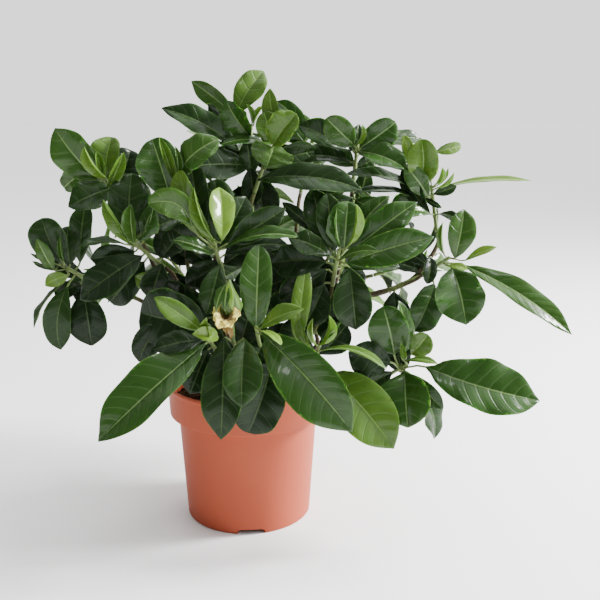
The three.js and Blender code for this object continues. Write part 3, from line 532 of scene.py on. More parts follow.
            leaf((204, 320, -50), (166, 282, -42), 26, "f", "deep"),
            leaf((202, 340, -72), (153, 350, -86), 20, "fu", "deep"),
            leaf((205, 344, -76), (98, 442, -110), 39, "ffffluu", "green", fold=17),
            leaf((208, 350, -68), (190, 394, -80), 26, "f", "deep"),
            leaf((214, 352, -62), (208, 396, -66), 24, "f", "deep"),
        ],
        young=[
            leaf((203, 331, -80), (154, 297, -86), 16, "ffu", "light", bow=0.06),
            leaf((212, 336, -80), (207, 317, -90), 13, "ffl", "bright", fold=26),
            leaf((218, 338, -82), (192, 334, -94), 15, "ffu", "bright", fold=26),
        ],
    ),
]

# The shoots of the far side, in mm. Their leaves stand round them in whorls.
BACK_SHOOTS = [
    ("back_left_low", "back_left", (-94, 52, 186), (-122, 46, 194)),
    ("back_left", "back_left", (-66, 104, 212), (-88, 116, 230)),
    ("back_left_top", "back_left", (-28, 58, 250), (-27, 62, 281)),
    ("back_centre", "back_left", (-6, 112, 188), (-6, 136, 204)),
    ("back_top", "back_right", (44, 60, 262), (50, 66, 292)),
    ("back_right", "back_right", (74, 100, 206), (90, 118, 228)),
    ("back_right_low", "back_right", (108, 60, 190), (140, 58, 200)),
    ("back_inner_left", "back_left", (-48, 40, 180), (-64, 26, 210)),
    ("back_inner_right", "back_right", (64, 24, 168), (76, 22, 198)),
]
FIRST_BACK_SEED = 11
BACK_WHORLS = 3
BACK_WHORL_SPACING = 11
BACK_WHORL_BELOW_TIP = 2
BACK_LEAVES_IN_WHORL = 3
BACK_STALK_REACH = 5
# The first whorl's value, what each lower whorl adds, and how far it varies
BACK_LEAN = (48, 20, 8)
BACK_LENGTH = (50, 7, 8)
# A share of the length, and how far it varies
BACK_WIDTH = (0.34, 0.06)
BACK_BOW_VARIES = 0.05
BACK_TURN_VARIES = 0.06
BACK_FOREMOST = -0.55
BACK_LOWEST = -0.8
BACK_TONES = ("deep", "dark", "dark", "green", "green", "olive", "light")
BACK_WHORL_SIDE = Vector((1, 0.3, 0))
# The new leaves at their tips: a share of a turn, a length and a width for each
BACK_TIP_LEAVES = ((0.1, 22, 6), (0.45, 18, 6), (0.8, 13, 4))
BACK_TIP_SIDE = Vector((0.4, 1, 0.1))
BACK_TIP_TURN = 0.13
BACK_TIP_SPREAD = 0.45
BACK_TIP_ABOVE = 1.5
BACK_TIP_REACH = 1.2
BACK_TIP_FOLD = 42


# Settings that a user would change
class PotSettings(bpy.types.PropertyGroup):
    """Sizes and looks of the nursery pot."""

    wall: bpy.props.FloatProperty(
        name="Wall", description="Thickness of the pot's wall", default=1.8 * MM, unit="LENGTH", min=MM,
    )
    round_steps: bpy.props.IntProperty(
        name="Round steps", description="Faces round the pot", default=144, min=36, max=288,
    )
    colour: bpy.props.FloatVectorProperty(
        name="Plastic", description="Colour of the pot's plastic", default=(0.375, 0.074, 0.034),
        size=3, subtype="COLOR", min=0, max=1,
    )
    roughness: bpy.props.FloatProperty(
        name="Roughness", description="Roughness of the pot's plastic",
        default=0.5, subtype="FACTOR", min=0, max=1,
    )


class CompostSettings(bpy.types.PropertyGroup):
    """Looks of the compost."""

    crumbs: bpy.props.IntProperty(
        name="Crumbs", description="Loose crumbs on the compost", default=420, min=0, max=1000,
    )
    colour: bpy.props.FloatVectorProperty(
        name="Peat", description="Colour of the moist peat", default=(0.03, 0.016, 0.009),
        size=3, subtype="COLOR", min=0, max=1,
    )


class StemSettings(bpy.types.PropertyGroup):
    """Sizes and colours of the stems."""

    trunk_radius: bpy.props.FloatProperty(
        name="Trunk radius", description="Radius of a woody stem at the compost",
        default=3.6 * MM, unit="LENGTH", min=MM,
    )
    shoot_radius: bpy.props.FloatProperty(
        name="Shoot radius", description="Radius of a leafy shoot where it starts",
        default=1.7 * MM, unit="LENGTH", min=0.5 * MM,
    )
    bark_colour: bpy.props.FloatVectorProperty(
        name="Bark", description="Colour of the old bark", default=(0.08, 0.062, 0.03),
        size=3, subtype="COLOR", min=0, max=1,
    )
    green_colour: bpy.props.FloatVectorProperty(
        name="Green stem", description="Colour of the young green stems", default=(0.13, 0.2, 0.045),
        size=3, subtype="COLOR", min=0, max=1,
    )


class LeafSettings(bpy.types.PropertyGroup):
    """Sizes and colours of the leaves."""

    vein_spacing: bpy.props.FloatProperty(
        name="Vein spacing", description="Distance between side veins along the midrib",
        default=10 * MM, unit="LENGTH", min=2 * MM,
    )
    quilting: bpy.props.FloatProperty(
        name="Quilting", description="How far a blade swells between its veins, as a share of its width",
        default=0.018, subtype="FACTOR", min=0, max=0.1,
    )
    waviness: bpy.props.FloatProperty(
        name="Waviness", description="How far the margin waves, as a share of the half width",
        default=0.16, subtype="FACTOR", min=0, max=0.5,
    )
    # The old leaf colour is partly the oldest leaves' own green and partly painted shade: the darkest tone
    # gives it to leaves deep in the crown
    old_colour: bpy.props.FloatVectorProperty(
        name="Old leaf", description="Colour of the oldest leaves", default=(0.0085, 0.02, 0.006),
        size=3, subtype="COLOR", min=0, max=1,
    )
    mature_colour: bpy.props.FloatVectorProperty(
        name="Mature leaf", description="Colour of a mature leaf", default=(0.022, 0.062, 0.009),
        size=3, subtype="COLOR", min=0, max=1,
    )
    young_colour: bpy.props.FloatVectorProperty(
        name="Young leaf", description="Colour of the youngest leaves", default=(0.15, 0.27, 0.03),
        size=3, subtype="COLOR", min=0, max=1,
    )
    midrib_colour: bpy.props.FloatVectorProperty(
        name="Midrib", description="Colour of a mature leaf's midrib", default=(0.16, 0.26, 0.085),
        size=3, subtype="COLOR", min=0, max=1,
    )
    roughness: bpy.props.FloatProperty(
        name="Roughness", description="Roughness of a mature leaf's upper side",
        default=0.27, subtype="FACTOR", min=0, max=1,
    )


class FlowerSettings(bpy.types.PropertyGroup):
    """Colours of the withered flower."""

    cream: bpy.props.FloatVectorProperty(
        name="Cream", description="Colour of the dried petals", default=(0.92, 0.8, 0.2),
        size=3, subtype="COLOR", min=0, max=1,
    )
    brown: bpy.props.FloatVectorProperty(
        name="Brown", description="Colour of the petals' dead parts", default=(0.2, 0.14, 0.05),
        size=3, subtype="COLOR", min=0, max=1,
    )


class StageSettings(bpy.types.PropertyGroup):
    """Light and floor."""

    key_power: bpy.props.FloatProperty(
        name="Key light", description="Power of the light from the right", default=95, unit="POWER", min=0,
    )
    top_power: bpy.props.FloatProperty(
        name="Top light", description="Power of the light above the camera", default=2.2, unit="POWER", min=0,
    )
    sky_strength: bpy.props.FloatProperty(
        name="Surrounding light", description="Strength of the white surroundings", default=3.7, min=0,
    )


SETTINGS = {
    "gardenia_pot": PotSettings,
    "gardenia_compost": CompostSettings,
    "gardenia_stems": StemSettings,
    "gardenia_leaves": LeafSettings,
    "gardenia_flower": FlowerSettings,
    "gardenia_stage": StageSettings,
}


# Materials
class Socket:
    """A number in a material's nodes, with the sums that are written on it."""

    def __init__(self, nodes, output):
        self.nodes = nodes
        self.output = output

    def maths(self, operation, *values):
        return self.nodes.node("ShaderNodeMath", {"operation": operation}, *values)

    def fraction(self):
        return self.maths("FRACT", self)

    def __add__(self, other):
        return self.maths("ADD", self, other)

    def __radd__(self, other):
        return self.maths("ADD", other, self)

    def __sub__(self, other):
        return self.maths("SUBTRACT", self, other)

    def __rsub__(self, other):
        return self.maths("SUBTRACT", other, self)

    def __mul__(self, other):
        return self.maths("MULTIPLY", self, other)

    def __rmul__(self, other):
        return self.maths("MULTIPLY", other, self)

    def __truediv__(self, other):
        return self.maths("DIVIDE", self, other)

    def __abs__(self):
        return self.maths("ABSOLUTE", self)

    def step(self, low, high):
        """0 below low and 1 above high, with a smooth step between them."""
        return self.nodes.node(
            "ShaderNodeMapRange", {"interpolation_type": "SMOOTHSTEP"}, self, low, high, 0, 1,
        )


class Nodes:
    """Shader nodes that are written from Python."""

    def __init__(self, tree):
        self.tree = tree

    def node(self, kind, settings=None, *values, output=0):
        """Adds a node, sets it up, gives its sockets their values or links, and returns one output."""
        made = self.tree.nodes.new(kind)
        for setting, value in (settings or {}).items():
            setattr(made, setting, value)
        open_sockets = [socket for socket in made.inputs if socket.enabled]
        for socket, value in zip(open_sockets, values):
            self.give(socket, value)
        return Socket(self, [socket for socket in made.outputs if socket.enabled][output])

    def give(self, socket, value):
        if isinstance(value, Socket):
            self.tree.links.new(value.output, socket)
        elif value is not None:
            is_colour = socket.type == "RGBA" and len(value) == 3
            socket.default_value = (*value, 1) if is_colour else value

    def parts(self, vector):
        """The three numbers of a vector."""
        return [self.node("ShaderNodeSeparateXYZ", None, vector, output=part) for part in range(3)]


class Finish(Nodes):
    """A material: its nodes, and the shader that they feed."""

    def __init__(self, name, **constants):
        self.material = bpy.data.materials.new(name)
        self.material.use_nodes = True
        super().__init__(self.material.node_tree)
        self.shader = self.tree.nodes["Principled BSDF"]
        for socket_name, value in constants.items():
            self.shader.inputs[socket_name.replace("_", " ")].default_value = value

    def feed(self, socket_name, value):
        self.give(self.shader.inputs[socket_name], value)

    def mix(self, share, first, second):
        """Colours mixed by a share."""
        settings = {"data_type": "RGBA", "blend_type": "MIX", "clamp_factor": True}
        return self.node("ShaderNodeMix", settings, share, first, second)

    def spot(self):
        """The place on the piece, in metres."""
        return self.node("ShaderNodeTexCoord", None, output=3)

    def attribute(self, name):
        """The three numbers of a piece's attribute."""
        return self.parts(self.node("ShaderNodeAttribute", {"attribute_name": name}, output=1))

    def uv(self):
        """The two numbers of a piece's own UV map."""
        return self.parts(self.node("ShaderNodeUVMap", {"uv_map": BLADE_MAP}))[:2]

    def noise(self, scale, detail=2.0, roughness=0.5, stretch=(1, 1, 1)):
        """Noise over the piece, about 0 to 1. The scale is in lumps for each metre."""
        spot = self.node(
            "ShaderNodeMapping", {"vector_type": "POINT"}, self.spot(), (0, 0, 0), (0, 0, 0), stretch,
        )
        return self.node("ShaderNodeTexNoise", {"noise_dimensions": "3D"}, spot, scale, detail, roughness)

    def cells(self, scale):
        """Distance from the nearest point of a random set, 0 to about 1."""
        return self.node("ShaderNodeTexVoronoi", {"feature": "F1"}, self.spot(), scale)

    def bump(self, height, depth, strength=1.0):
        """Feeds a bump whose full height is a depth in metres."""
        normal = self.node("ShaderNodeBump", None, strength, depth, None, height)
        self.feed("Normal", normal)


# The light inside a leaf, and the colours that aren't among the settings
LEAF_FLESH = {"Subsurface_Weight": 0.12, "Subsurface_Radius": (0.4, 1.0, 0.15), "Subsurface_Scale": 1.2 * MM}
STEM_STREAK = (0.075, 0.085, 0.028)
BARK_FISSURE = (0.03, 0.019, 0.01)
CORK_FLECK = (0.2, 0.155, 0.09)
PLASTIC_CLOUD = (0.44, 0.1, 0.048)
PLASTIC_SCUFF = (0.56, 0.23, 0.13)
PLASTIC_SPECK = (0.12, 0.045, 0.03)
WET_PEAT = (0.012, 0.007, 0.004)
PEAT_FIBRE = (0.1, 0.06, 0.03)
PETAL_OCHRE = (0.7, 0.54, 0.17)
CALYX_SHADE = (0.04, 0.085, 0.014)
CALYX_STREAK = (0.085, 0.16, 0.02)
FLOOR_GREY = (0.86, 0.86, 0.86)


def leaf_marks(finish):
    """A leaf's tone, its own random number, and half its width in mm divided by MARKED_WIDTH."""
    return finish.attribute(LEAF_MARKS)


def leaf_colour(finish, settings, tone):
    """Green from old to young, by tone. The tone also holds painted light and shade, so its dark end paints
    shade.
    """
    to_mature = finish.mix(tone.step(0.0, 0.45), settings.old_colour, settings.mature_colour)
    return finish.mix(tone.step(0.4, 1.1), to_mature, settings.young_colour)


def side_veins(along, off_middle, width, narrows, core):
    """1 on the side veins and 0 between them. They narrow towards the margin and fade out beside it."""
    off_vein = abs((along + 0.5).fraction() - 0.5)
    inside = 1 - off_middle.step(0.8, 1.0)
    return (1 - (off_vein / (width - narrows * off_middle)).step(core, 1.0)) * inside


def midrib_line(off_middle, half_width, inner, outer):
    """1 on the midrib and 0 beside it, between two distances in mm."""
    return 1 - (off_middle * half_width * MARKED_WIDTH).step(inner, outer)


def upper_leaf(settings):
    """Glossy upper side: dark green, with pale sunk side veins, a raised midrib and duller patches."""
    finish = Finish("leaf upper side", Coat_Roughness=0.1, Specular_IOR_Level=0.1, **LEAF_FLESH)
    along, across = finish.uv()
    tone, luck, half_width = leaf_marks(finish)
    mottle = finish.noise(90, detail=3)
    grain = finish.noise(900, detail=2)
    off_middle = abs(across)
    veins = side_veins(along, off_middle, width=0.13, narrows=0.07, core=0.3)
    midrib = midrib_line(off_middle, half_width, 0.35, 0.85)
    grown = tone.step(0.05, 0.45)
    # The leaf's tone, which is partly painted light and shade, with random mottling
    mottled_tone_with_painted_light = tone + 0.16 * (mottle - 0.5) + 0.1 * (luck - 0.5)
    blade = leaf_colour(finish, settings, mottled_tone_with_painted_light)
    pale = finish.mix(0.5, blade, settings.midrib_colour)
    veined = finish.mix(veins * (0.08 + 0.1 * grown), blade, pale)
    bright_rib = finish.mix(tone.step(0.4, 1.0), settings.midrib_colour, settings.young_colour)
    ribbed = finish.mix(midrib * (0.2 + 0.6 * tone.step(0.1, 0.45)), veined, bright_rib)
    margin = off_middle.step(0.93, 1.0) * 0.3
    finish.feed("Base Color", finish.mix(margin, ribbed, pale))
    finish.feed("Roughness", settings.roughness + 0.16 * (mottle - 0.35) + 0.1 * veins)
    new = tone.step(0.6, 1.0)
    finish.feed("Coat Weight", 0.16 + 0.2 * grown + 0.3 * new - 0.22 * (grain - 0.3))
    finish.bump(0.5 * grain - 0.8 * veins + 0.5 * midrib, 0.35 * MM, 0.7)
    return finish.material


def under_leaf(settings):
    """Duller and paler underside with raised veins."""
    finish = Finish("leaf underside", Specular_IOR_Level=0.12, **LEAF_FLESH)
    along, across = finish.uv()
    tone, luck, half_width = leaf_marks(finish)
    mottle = finish.noise(110, detail=3)
    off_middle = abs(across)
    veins = side_veins(along, off_middle, width=0.15, narrows=0.08, core=0.2)
    midrib = midrib_line(off_middle, half_width, 0.6, 1.2)
    paler_tone = 0.1 + 0.8 * tone + 0.14 * (mottle - 0.5) + 0.1 * (luck - 0.5)
    blade = leaf_colour(finish, settings, paler_tone)
    veined = finish.mix(veins * 0.2, blade, settings.midrib_colour)
    finish.feed("Base Color", finish.mix(midrib * 0.6, veined, settings.midrib_colour))
    finish.feed("Roughness", 0.5 + 0.12 * (mottle - 0.5))
    finish.bump(veins + midrib + 0.3 * mottle, 0.4 * MM, 0.7)
    return finish.material


def green_stem(settings):
    """Young stem: smooth green with faint streaks, browner in places."""
    finish = Finish("green stem", Specular_IOR_Level=0.45)
    streaks = finish.noise(420, detail=3, stretch=(1, 1, 0.12))
    lumps = finish.noise(60, detail=2)
    colour = finish.mix(streaks.step(0.35, 0.75) * 0.5, settings.green_colour, STEM_STREAK)
    finish.feed("Base Color", finish.mix(lumps.step(0.55, 0.8) * 0.35, colour, settings.bark_colour))
    finish.feed("Roughness", 0.42 + 0.2 * streaks)
    finish.bump(streaks, 0.25 * MM, 0.6)
    return finish.material


def old_bark(settings):
    """Thin brown bark: long fissures, paler corky flecks, and green where it is still young."""
    finish = Finish("old bark", Specular_IOR_Level=0.25)
    fissures = finish.noise(520, detail=4, roughness=0.65, stretch=(1, 1, 0.15))
    flecks = finish.cells(700)
    patches = finish.noise(45, detail=3)
    brown = finish.mix(fissures.step(0.3, 0.7), BARK_FISSURE, settings.bark_colour)
    corky = finish.mix((1 - flecks.step(0.1, 0.3)) * 0.45, brown, CORK_FLECK)
    finish.feed("Base Color", finish.mix(patches.step(0.45, 0.7) * 0.5, corky, settings.green_colour))
    finish.feed("Roughness", 0.72 + 0.2 * fissures)
    finish.bump(fissures - 0.4 * flecks, 0.6 * MM, 0.9)
    return finish.material


def moulded_plastic(settings):
    """Smooth matt plastic with a fine grain, cloudy wear, pale scuffs and a few dark specks."""
    finish = Finish("terracotta-coloured plastic", Specular_IOR_Level=0.16)
    cloud = finish.noise(28, detail=4)
    grain = finish.noise(1500, detail=2)
    scuffs = finish.noise(160, detail=5, roughness=0.7, stretch=(1, 1, 3))
    speck_cells = finish.cells(260)
    speck_choice = finish.noise(70, detail=1)
    speck = (1 - speck_cells.step(0.05, 0.12)) * speck_choice.step(0.62, 0.68)
    base = finish.mix(cloud.step(0.35, 0.7) * 0.25, settings.colour, PLASTIC_CLOUD)
    scuffed = finish.mix(scuffs.step(0.66, 0.8) * 0.3, base, PLASTIC_SCUFF)
    finish.feed("Base Color", finish.mix(speck * 0.75, scuffed, PLASTIC_SPECK))
    finish.feed("Roughness", settings.roughness + 0.16 * (cloud - 0.5) + 0.1 * scuffs)
    finish.bump(grain + 0.3 * scuffs, 0.06 * MM, 0.5)
    return finish.material


def moist_peat(settings):
    """Dark crumbly compost with lighter fibres."""
    finish = Finish("moist peat", Specular_IOR_Level=0.0)
    lumps = finish.noise(320, detail=5, roughness=0.7)
    fibres = finish.cells(520)
    dark = finish.mix(lumps.step(0.3, 0.7), WET_PEAT, settings.colour)
    finish.feed("Base Color", finish.mix((1 - fibres.step(0.08, 0.22)) * 0.3, dark, PEAT_FIBRE))
    finish.feed("Roughness", 0.82 + 0.15 * lumps)
    finish.bump(lumps + 0.5 * fibres, 0.8 * MM, 0.8)
    return finish.material


def dried_petal(settings):
    """Dried petal: cream and crumpled, brown in patches, along its margins and towards the cup's middle and
    the petals' feet.
    """
    finish = Finish("dried petal", Specular_IOR_Level=0.25, Subsurface_Weight=0.1, Subsurface_Scale=MM)
    along, across = finish.uv()
    crumple = finish.noise(260, detail=4)
    patches = finish.noise(120, detail=3)
    rim = abs(across).step(0.6, 1.0) * 0.3
    # Brown in noise patches, along the margins, and towards the cup's middle and each petal's foot
    dead = (patches.step(0.48, 0.7) * 0.6 + rim + 1 - along.step(0.5, 1.5)).step(0.25, 1.0)
    cream = finish.mix(crumple.step(0.3, 0.7) * 0.35, settings.cream, PETAL_OCHRE)
    finish.feed("Base Color", finish.mix(dead, cream, settings.brown))
    finish.feed("Roughness", 0.62 + 0.2 * crumple)
    finish.bump(crumple, 0.5 * MM, 0.8)
    return finish.material


def calyx_skin(settings):
    """Fresh green skin of the flower's tube, with paler patches."""
    finish = Finish("calyx skin", Coat_Roughness=0.2, Subsurface_Weight=0.12, Subsurface_Scale=MM)
    streaks = finish.noise(500, detail=3, stretch=(1, 1, 0.1))
    lumps = finish.noise(140, detail=2)
    green = finish.mix(streaks.step(0.3, 0.7), CALYX_SHADE, CALYX_STREAK)
    finish.feed("Base Color", finish.mix(lumps.step(0.45, 0.8) * 0.4, green, settings.young_colour))
    finish.feed("Roughness", 0.34 + 0.12 * lumps)
    finish.feed("Coat Weight", 0.08 + 0.1 * lumps)
    finish.bump(streaks, 0.25 * MM, 0.6)
    return finish.material


def seamless_floor():
    """Plain pale floor."""
    finish = Finish("pale floor", Specular_IOR_Level=0.2)
    finish.feed("Base Color", FLOOR_GREY)
    finish.feed("Roughness", 0.9 + 0.02 * finish.noise(2))
    return finish.material


FINISHES = {}


def finish_named(kind, settings_name):
    """A material made once and shared by the pieces that wear it."""
    if kind not in FINISHES:
        FINISHES[kind] = kind(getattr(bpy.context.scene, settings_name))
    return FINISHES[kind]


# Mesh helpers
# No stem runs this way, so every bar can start its round from it
BAR_SIDE = Vector((1, 0.35, 0.2))
STEPS_IN_STRETCH = 12
SHORTEST = 1e-9


def across_to(direction, axis):
    """A direction's part at right angles to an axis, one long."""
    return (direction - axis * direction.dot(axis)).normalized()


def smooth(value, low, high):
    """0 below low and 1 above high, with a smooth step between them."""
    share = min(max((value - low) / (high - low), 0), 1)
    return share * share * (3 - 2 * share)


def new_piece(name, mesh_maker, nodes, materials):
    """A finished piece at the origin: its mesh, its materials and the nodes that it stands for."""
    shape = bmesh.new()
    shape.loops.layers.uv.new(BLADE_MAP)
    shape.verts.layers.float_vector.new(LEAF_MARKS)
    mesh_maker(shape)
    for face in shape.faces:
        face.smooth = True
    mesh = bpy.data.meshes.new(name)
    shape.to_mesh(mesh)
    shape.free()
    for material in materials:
        mesh.materials.append(material)
    piece = bpy.data.objects.new(name, mesh)
    bpy.context.collection.objects.link(piece)
    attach(piece, ROOT_BODY)
    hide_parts(*nodes)
    return piece


def skin(shape, columns, rows, corner_at, map_at=None, material_at=None):
    """Wraps a sheet round a form. corner_at gives each corner's place in mm from its row and column.

    The first and the last column meet, and a row whose corners share one place closes an end.
    """
    first_face = len(shape.faces)
    corners = bmesh.ops.create_grid(shape, x_segments=columns, y_segments=rows, size=1)["verts"]
    for index, corner in enumerate(corners):
        corner.co = corner_at(*divmod(index, columns + 1)) * MM
    shape.faces.ensure_lookup_table()
    blade_map = shape.loops.layers.uv[BLADE_MAP]
    for index, face in enumerate(shape.faces[first_face:]):
        row, column = divmod(index, columns)
        if material_at:
            face.material_index = material_at(row, column)
        if map_at:
            for loop, (down, over) in zip(face.loops, ((0, 0), (0, 1), (1, 1), (1, 0))):
                loop[blade_map].uv = map_at(row + down, column + over)
    return corners


def close_seams(shape, corners, within=1e-4):
    """Joins the corners that share a place, within a distance in mm."""
    bmesh.ops.remove_doubles(shape, verts=corners, dist=within * MM)


def catmull_rom(points, count):
    """Places along a smooth line through points, each stretch as long as the next one."""
    ends = [2 * points[0] - points[1], *points, 2 * points[-1] - points[-2]]
    line = []
    for before, start, end, after in zip(ends, ends[1:], ends[2:], ends[3:]):
        gaps = [math.sqrt((b - a).length) or 1 for a, b in ((before, start), (start, end), (end, after))]
        leave = (start - before) / gaps[0] - (end - before) / (gaps[0] + gaps[1]) + (end - start) / gaps[1]
        reach = (end - start) / gaps[1] - (after - start) / (gaps[1] + gaps[2]) + (after - end) / gaps[2]
        leave, reach = leave * gaps[1], reach * gaps[1]
        for step in range(STEPS_IN_STRETCH):
            t = step / STEPS_IN_STRETCH
            line.append(
                start
                + leave * t
                + (3 * (end - start) - 2 * leave - reach) * t**2
                + (2 * (start - end) + leave + reach) * t**3
            )
    line.append(points[-1])
    return evenly_spaced(line, count)


def evenly_spaced(line, count):
    """A number of places along a line, at equal distances."""
    lengths = [0]
    for start, end in zip(line, line[1:]):
        lengths.append(lengths[-1] + (end - start).length)
    spaced = []
    index = 0
    for number in range(count):
        wanted = lengths[-1] * number / (count - 1)
        while index < len(line) - 2 and lengths[index + 1] < wanted:
            index += 1
        share = (wanted - lengths[index]) / max(lengths[index + 1] - lengths[index], SHORTEST)
        spaced.append(line[index].lerp(line[index + 1], min(share, 1)))
    return spaced


def tangents_of(line):
    return [
        (line[min(index + 1, len(line) - 1)] - line[max(index - 1, 0)]).normalized()
        for index in range(len(line))
    ]


def round_bar(shape, line, radius_at, columns, material=0):
    """A closed round bar along a line. radius_at takes a share of its length and an angle round it."""
    tangents = tangents_of(line)
    side = across_to(BAR_SIDE, tangents[0])
    sides = []
    for tangent in tangents:
        side = across_to(side, tangent)
        sides.append(side)
    last = len(line) - 1

    def corner_at(row, column):
        station = min(max(row - 1, 0), last)
        if row in (0, last + 2):
            return line[station]
        angle = 2 * math.pi * (column % columns) / columns
        up = tangents[station].cross(sides[station])
        out = sides[station] * math.cos(angle) + up * math.sin(angle)
        return line[station] + out * radius_at(station / last, angle)

    corners = skin(shape, columns, last + 2, corner_at, material_at=lambda row, column: material)
    close_seams(shape, corners)


# Leaves
def blade_outline(along, blunt):
    """Half a blade's width at a share of its length, as a share of its greatest half width."""
    at_base, added, lateness = BLUNT_OUTLINE if blunt else POINTED_OUTLINE
    power = at_base + added * along**lateness
    return math.sin(math.pi * min(along**WIDEST_PLACE, 1)) ** power


def section_of(fold, cup):
    """A blade's cross-section: for each corner, how far out and how far up it lies, for a half width of 1."""
    middle = LAST_CORNER // 2
    halves = []
    out = up = 0.0
    for start, end in zip(BLADE_CORNERS[middle:], BLADE_CORNERS[middle + 1:]):
        at = (start + end) / 2
        slope = fold * (FOLD_AT_MIDRIB - FOLD_EASES * at) + cup * at
        out += (end - start) * math.cos(slope)
        up += (end - start) * math.sin(slope)
        halves.append((out, up))
    left = [(-out, up) for out, up in reversed(halves)]
    return [*left, (0.0, 0.0), *halves]


class LeafSurface:
    """One leaf's surface: a flattened tube from its stalk's root in the stem to the tip of its blade."""

    # How much leaves differ from one another
    SWAY_VARIES = 0.025
    FOLD_VARIES = 5
    CUP_RANGE = (-12, 10)
    WAVE_HEIGHT_RANGE = (0.4, 1.1)
    WAVE_COUNT_RANGE = (1.6, 3.2)
    TWIST_VARIES = 12
    LOPSIDED_VARIES = 0.09
    QUILTING_RANGE = (0.7, 1.2)

    # A narrow leaf of a bright tone is young, with a calm, coarse blade. A strongly folded one is rolled.
    YOUNG_TONE = 0.6
    YOUNG_WIDTH = 18
    YOUNG_CALM = 0.5
    YOUNG_ROWS_PER_VEIN = 2
    ROWS_PER_VEIN = 3
    FEWEST_VEINS = 4
    ROLLED_FOLD = 25
    ROLLED_CUP = 45

    # The stalk: its radius in mm grows with the blade's half width, up to a limit
    STALK_ROWS = 4
    STALK_RADIUS = 0.45
    STALK_WIDEST = 0.8
    BLADE_PER_STALK = 30
    STALK_NEIGHBOUR = 0.05

    # The blade: thicknesses in mm, and places as shares of its length or its half width
    HALF_THICKNESS = 0.28
    THIN_BELOW = 3
    MARGIN_THINS = 0.14
    UPPER_RIB = 0.2
    LOWER_RIB = 0.75
    RIB_TAPER = 0.8
    OPEN_FROM = 0.1
    TIP_CLOSES_FROM = 0.9
    VEIN_SLANT = 0.16
    VEIN_CURVE = 1.3
    SWELL_POWER = 0.8
    MARGINS_OUT_OF_STEP = 0.2

    def __init__(self, one, root, luck, settings):
        self.leaf = one
        self.root = root
        length = (one.tip - one.base).length
        axis = (one.tip - one.base).normalized()
        self.upper = across_to(one.upper_way, axis)
        side = axis.cross(self.upper)
        sway = one.sway + luck.uniform(-self.SWAY_VARIES, self.SWAY_VARIES)
        middle = one.base.lerp(one.tip, 0.5)
        self.control = middle + self.upper * 2 * one.bow * length + side * 2 * sway * length
        is_young = one.tone > self.YOUNG_TONE and one.wide < self.YOUNG_WIDTH
        calm = self.YOUNG_CALM if is_young else 1
        self.veins = max(self.FEWEST_VEINS, round(length * MM / settings.vein_spacing))
        self.blade_rows = self.veins * (self.YOUNG_ROWS_PER_VEIN if is_young else self.ROWS_PER_VEIN)
        self.rows = self.STALK_ROWS + self.blade_rows
        fold = math.radians(one.fold + luck.uniform(-self.FOLD_VARIES, self.FOLD_VARIES))
        is_rolled = one.fold > self.ROLLED_FOLD
        cup = math.radians(self.ROLLED_CUP if is_rolled else luck.uniform(*self.CUP_RANGE))
        self.section = section_of(fold, cup)
        self.half_wide = one.wide / 2
        self.stalk_radius = min(self.STALK_WIDEST, self.STALK_RADIUS + self.half_wide / self.BLADE_PER_STALK)
        self.wave = settings.waviness * calm * luck.uniform(*self.WAVE_HEIGHT_RANGE)
        self.waves = luck.uniform(*self.WAVE_COUNT_RANGE)
        self.phase = luck.random()
        self.twist = math.radians(luck.uniform(-self.TWIST_VARIES, self.TWIST_VARIES))
        self.lopsided = luck.uniform(-self.LOPSIDED_VARIES, self.LOPSIDED_VARIES)
        self.quilt = settings.quilting * one.wide * luck.uniform(*self.QUILTING_RANGE) * calm
        self.own_number = luck.random()

    def midrib(self, t):
        return self.leaf.base * (1 - t) ** 2 + self.control * 2 * t * (1 - t) + self.leaf.tip * t**2

    def heading(self, t):
        return ((self.control - self.leaf.base) * (1 - t) + (self.leaf.tip - self.control) * t).normalized()

    def stalk(self, t):
        """The stalk leaves the stem straight, and bends into the blade."""
        base = self.leaf.base
        first = self.root + (base - self.root) / 3
        second = base - self.heading(0) * ((base - self.root).length / 3)
        u = 1 - t
        return self.root * u**3 + first * 3 * u * u * t + second * 3 * u * t * t + base * t**3

    def station(self, row, at):
        """How far along the blade a corner stands, the middle of its section, and the way that it heads."""
        if row <= self.STALK_ROWS:
            share = (row - 1) / (self.STALK_ROWS - 1)
            before = self.stalk(max(share - self.STALK_NEIGHBOUR, 0))
            after = self.stalk(min(share + self.STALK_NEIGHBOUR, 1))
            return 0.0, self.stalk(share), (after - before).normalized()
        t = (row - self.STALK_ROWS) / self.blade_rows
        t = min(t + self.VEIN_SLANT * 4 * t * (1 - t) * abs(at) ** self.VEIN_CURVE, 1)
        return t, self.midrib(t), self.heading(t)

    def corner_at(self, row, column):
        """The place of a corner. The stalk's round section opens into the blade's flat one."""
        if row == 0:
            return self.root
        column %= LEAF_COLUMNS
        is_upper = column <= LAST_CORNER
        corner = column if is_upper else LEAF_COLUMNS - column
        t, centre, ahead = self.station(row, BLADE_CORNERS[corner])
        normal = Quaternion(ahead, self.twist * t) @ across_to(self.upper, ahead)
        across = ahead.cross(normal)
        flat_out, flat_up = self.flat_corner(row, corner, t, is_upper)
        angle = math.pi * corner / LAST_CORNER
        round_out = -math.cos(angle) * self.stalk_radius
        round_up = math.sin(angle) * self.stalk_radius * (1 if is_upper else -1)
        opened = smooth(t, 0, self.OPEN_FROM)
        out = round_out + (flat_out - round_out) * opened
        up = round_up + (flat_up - round_up) * opened
        return centre + across * out + normal * up

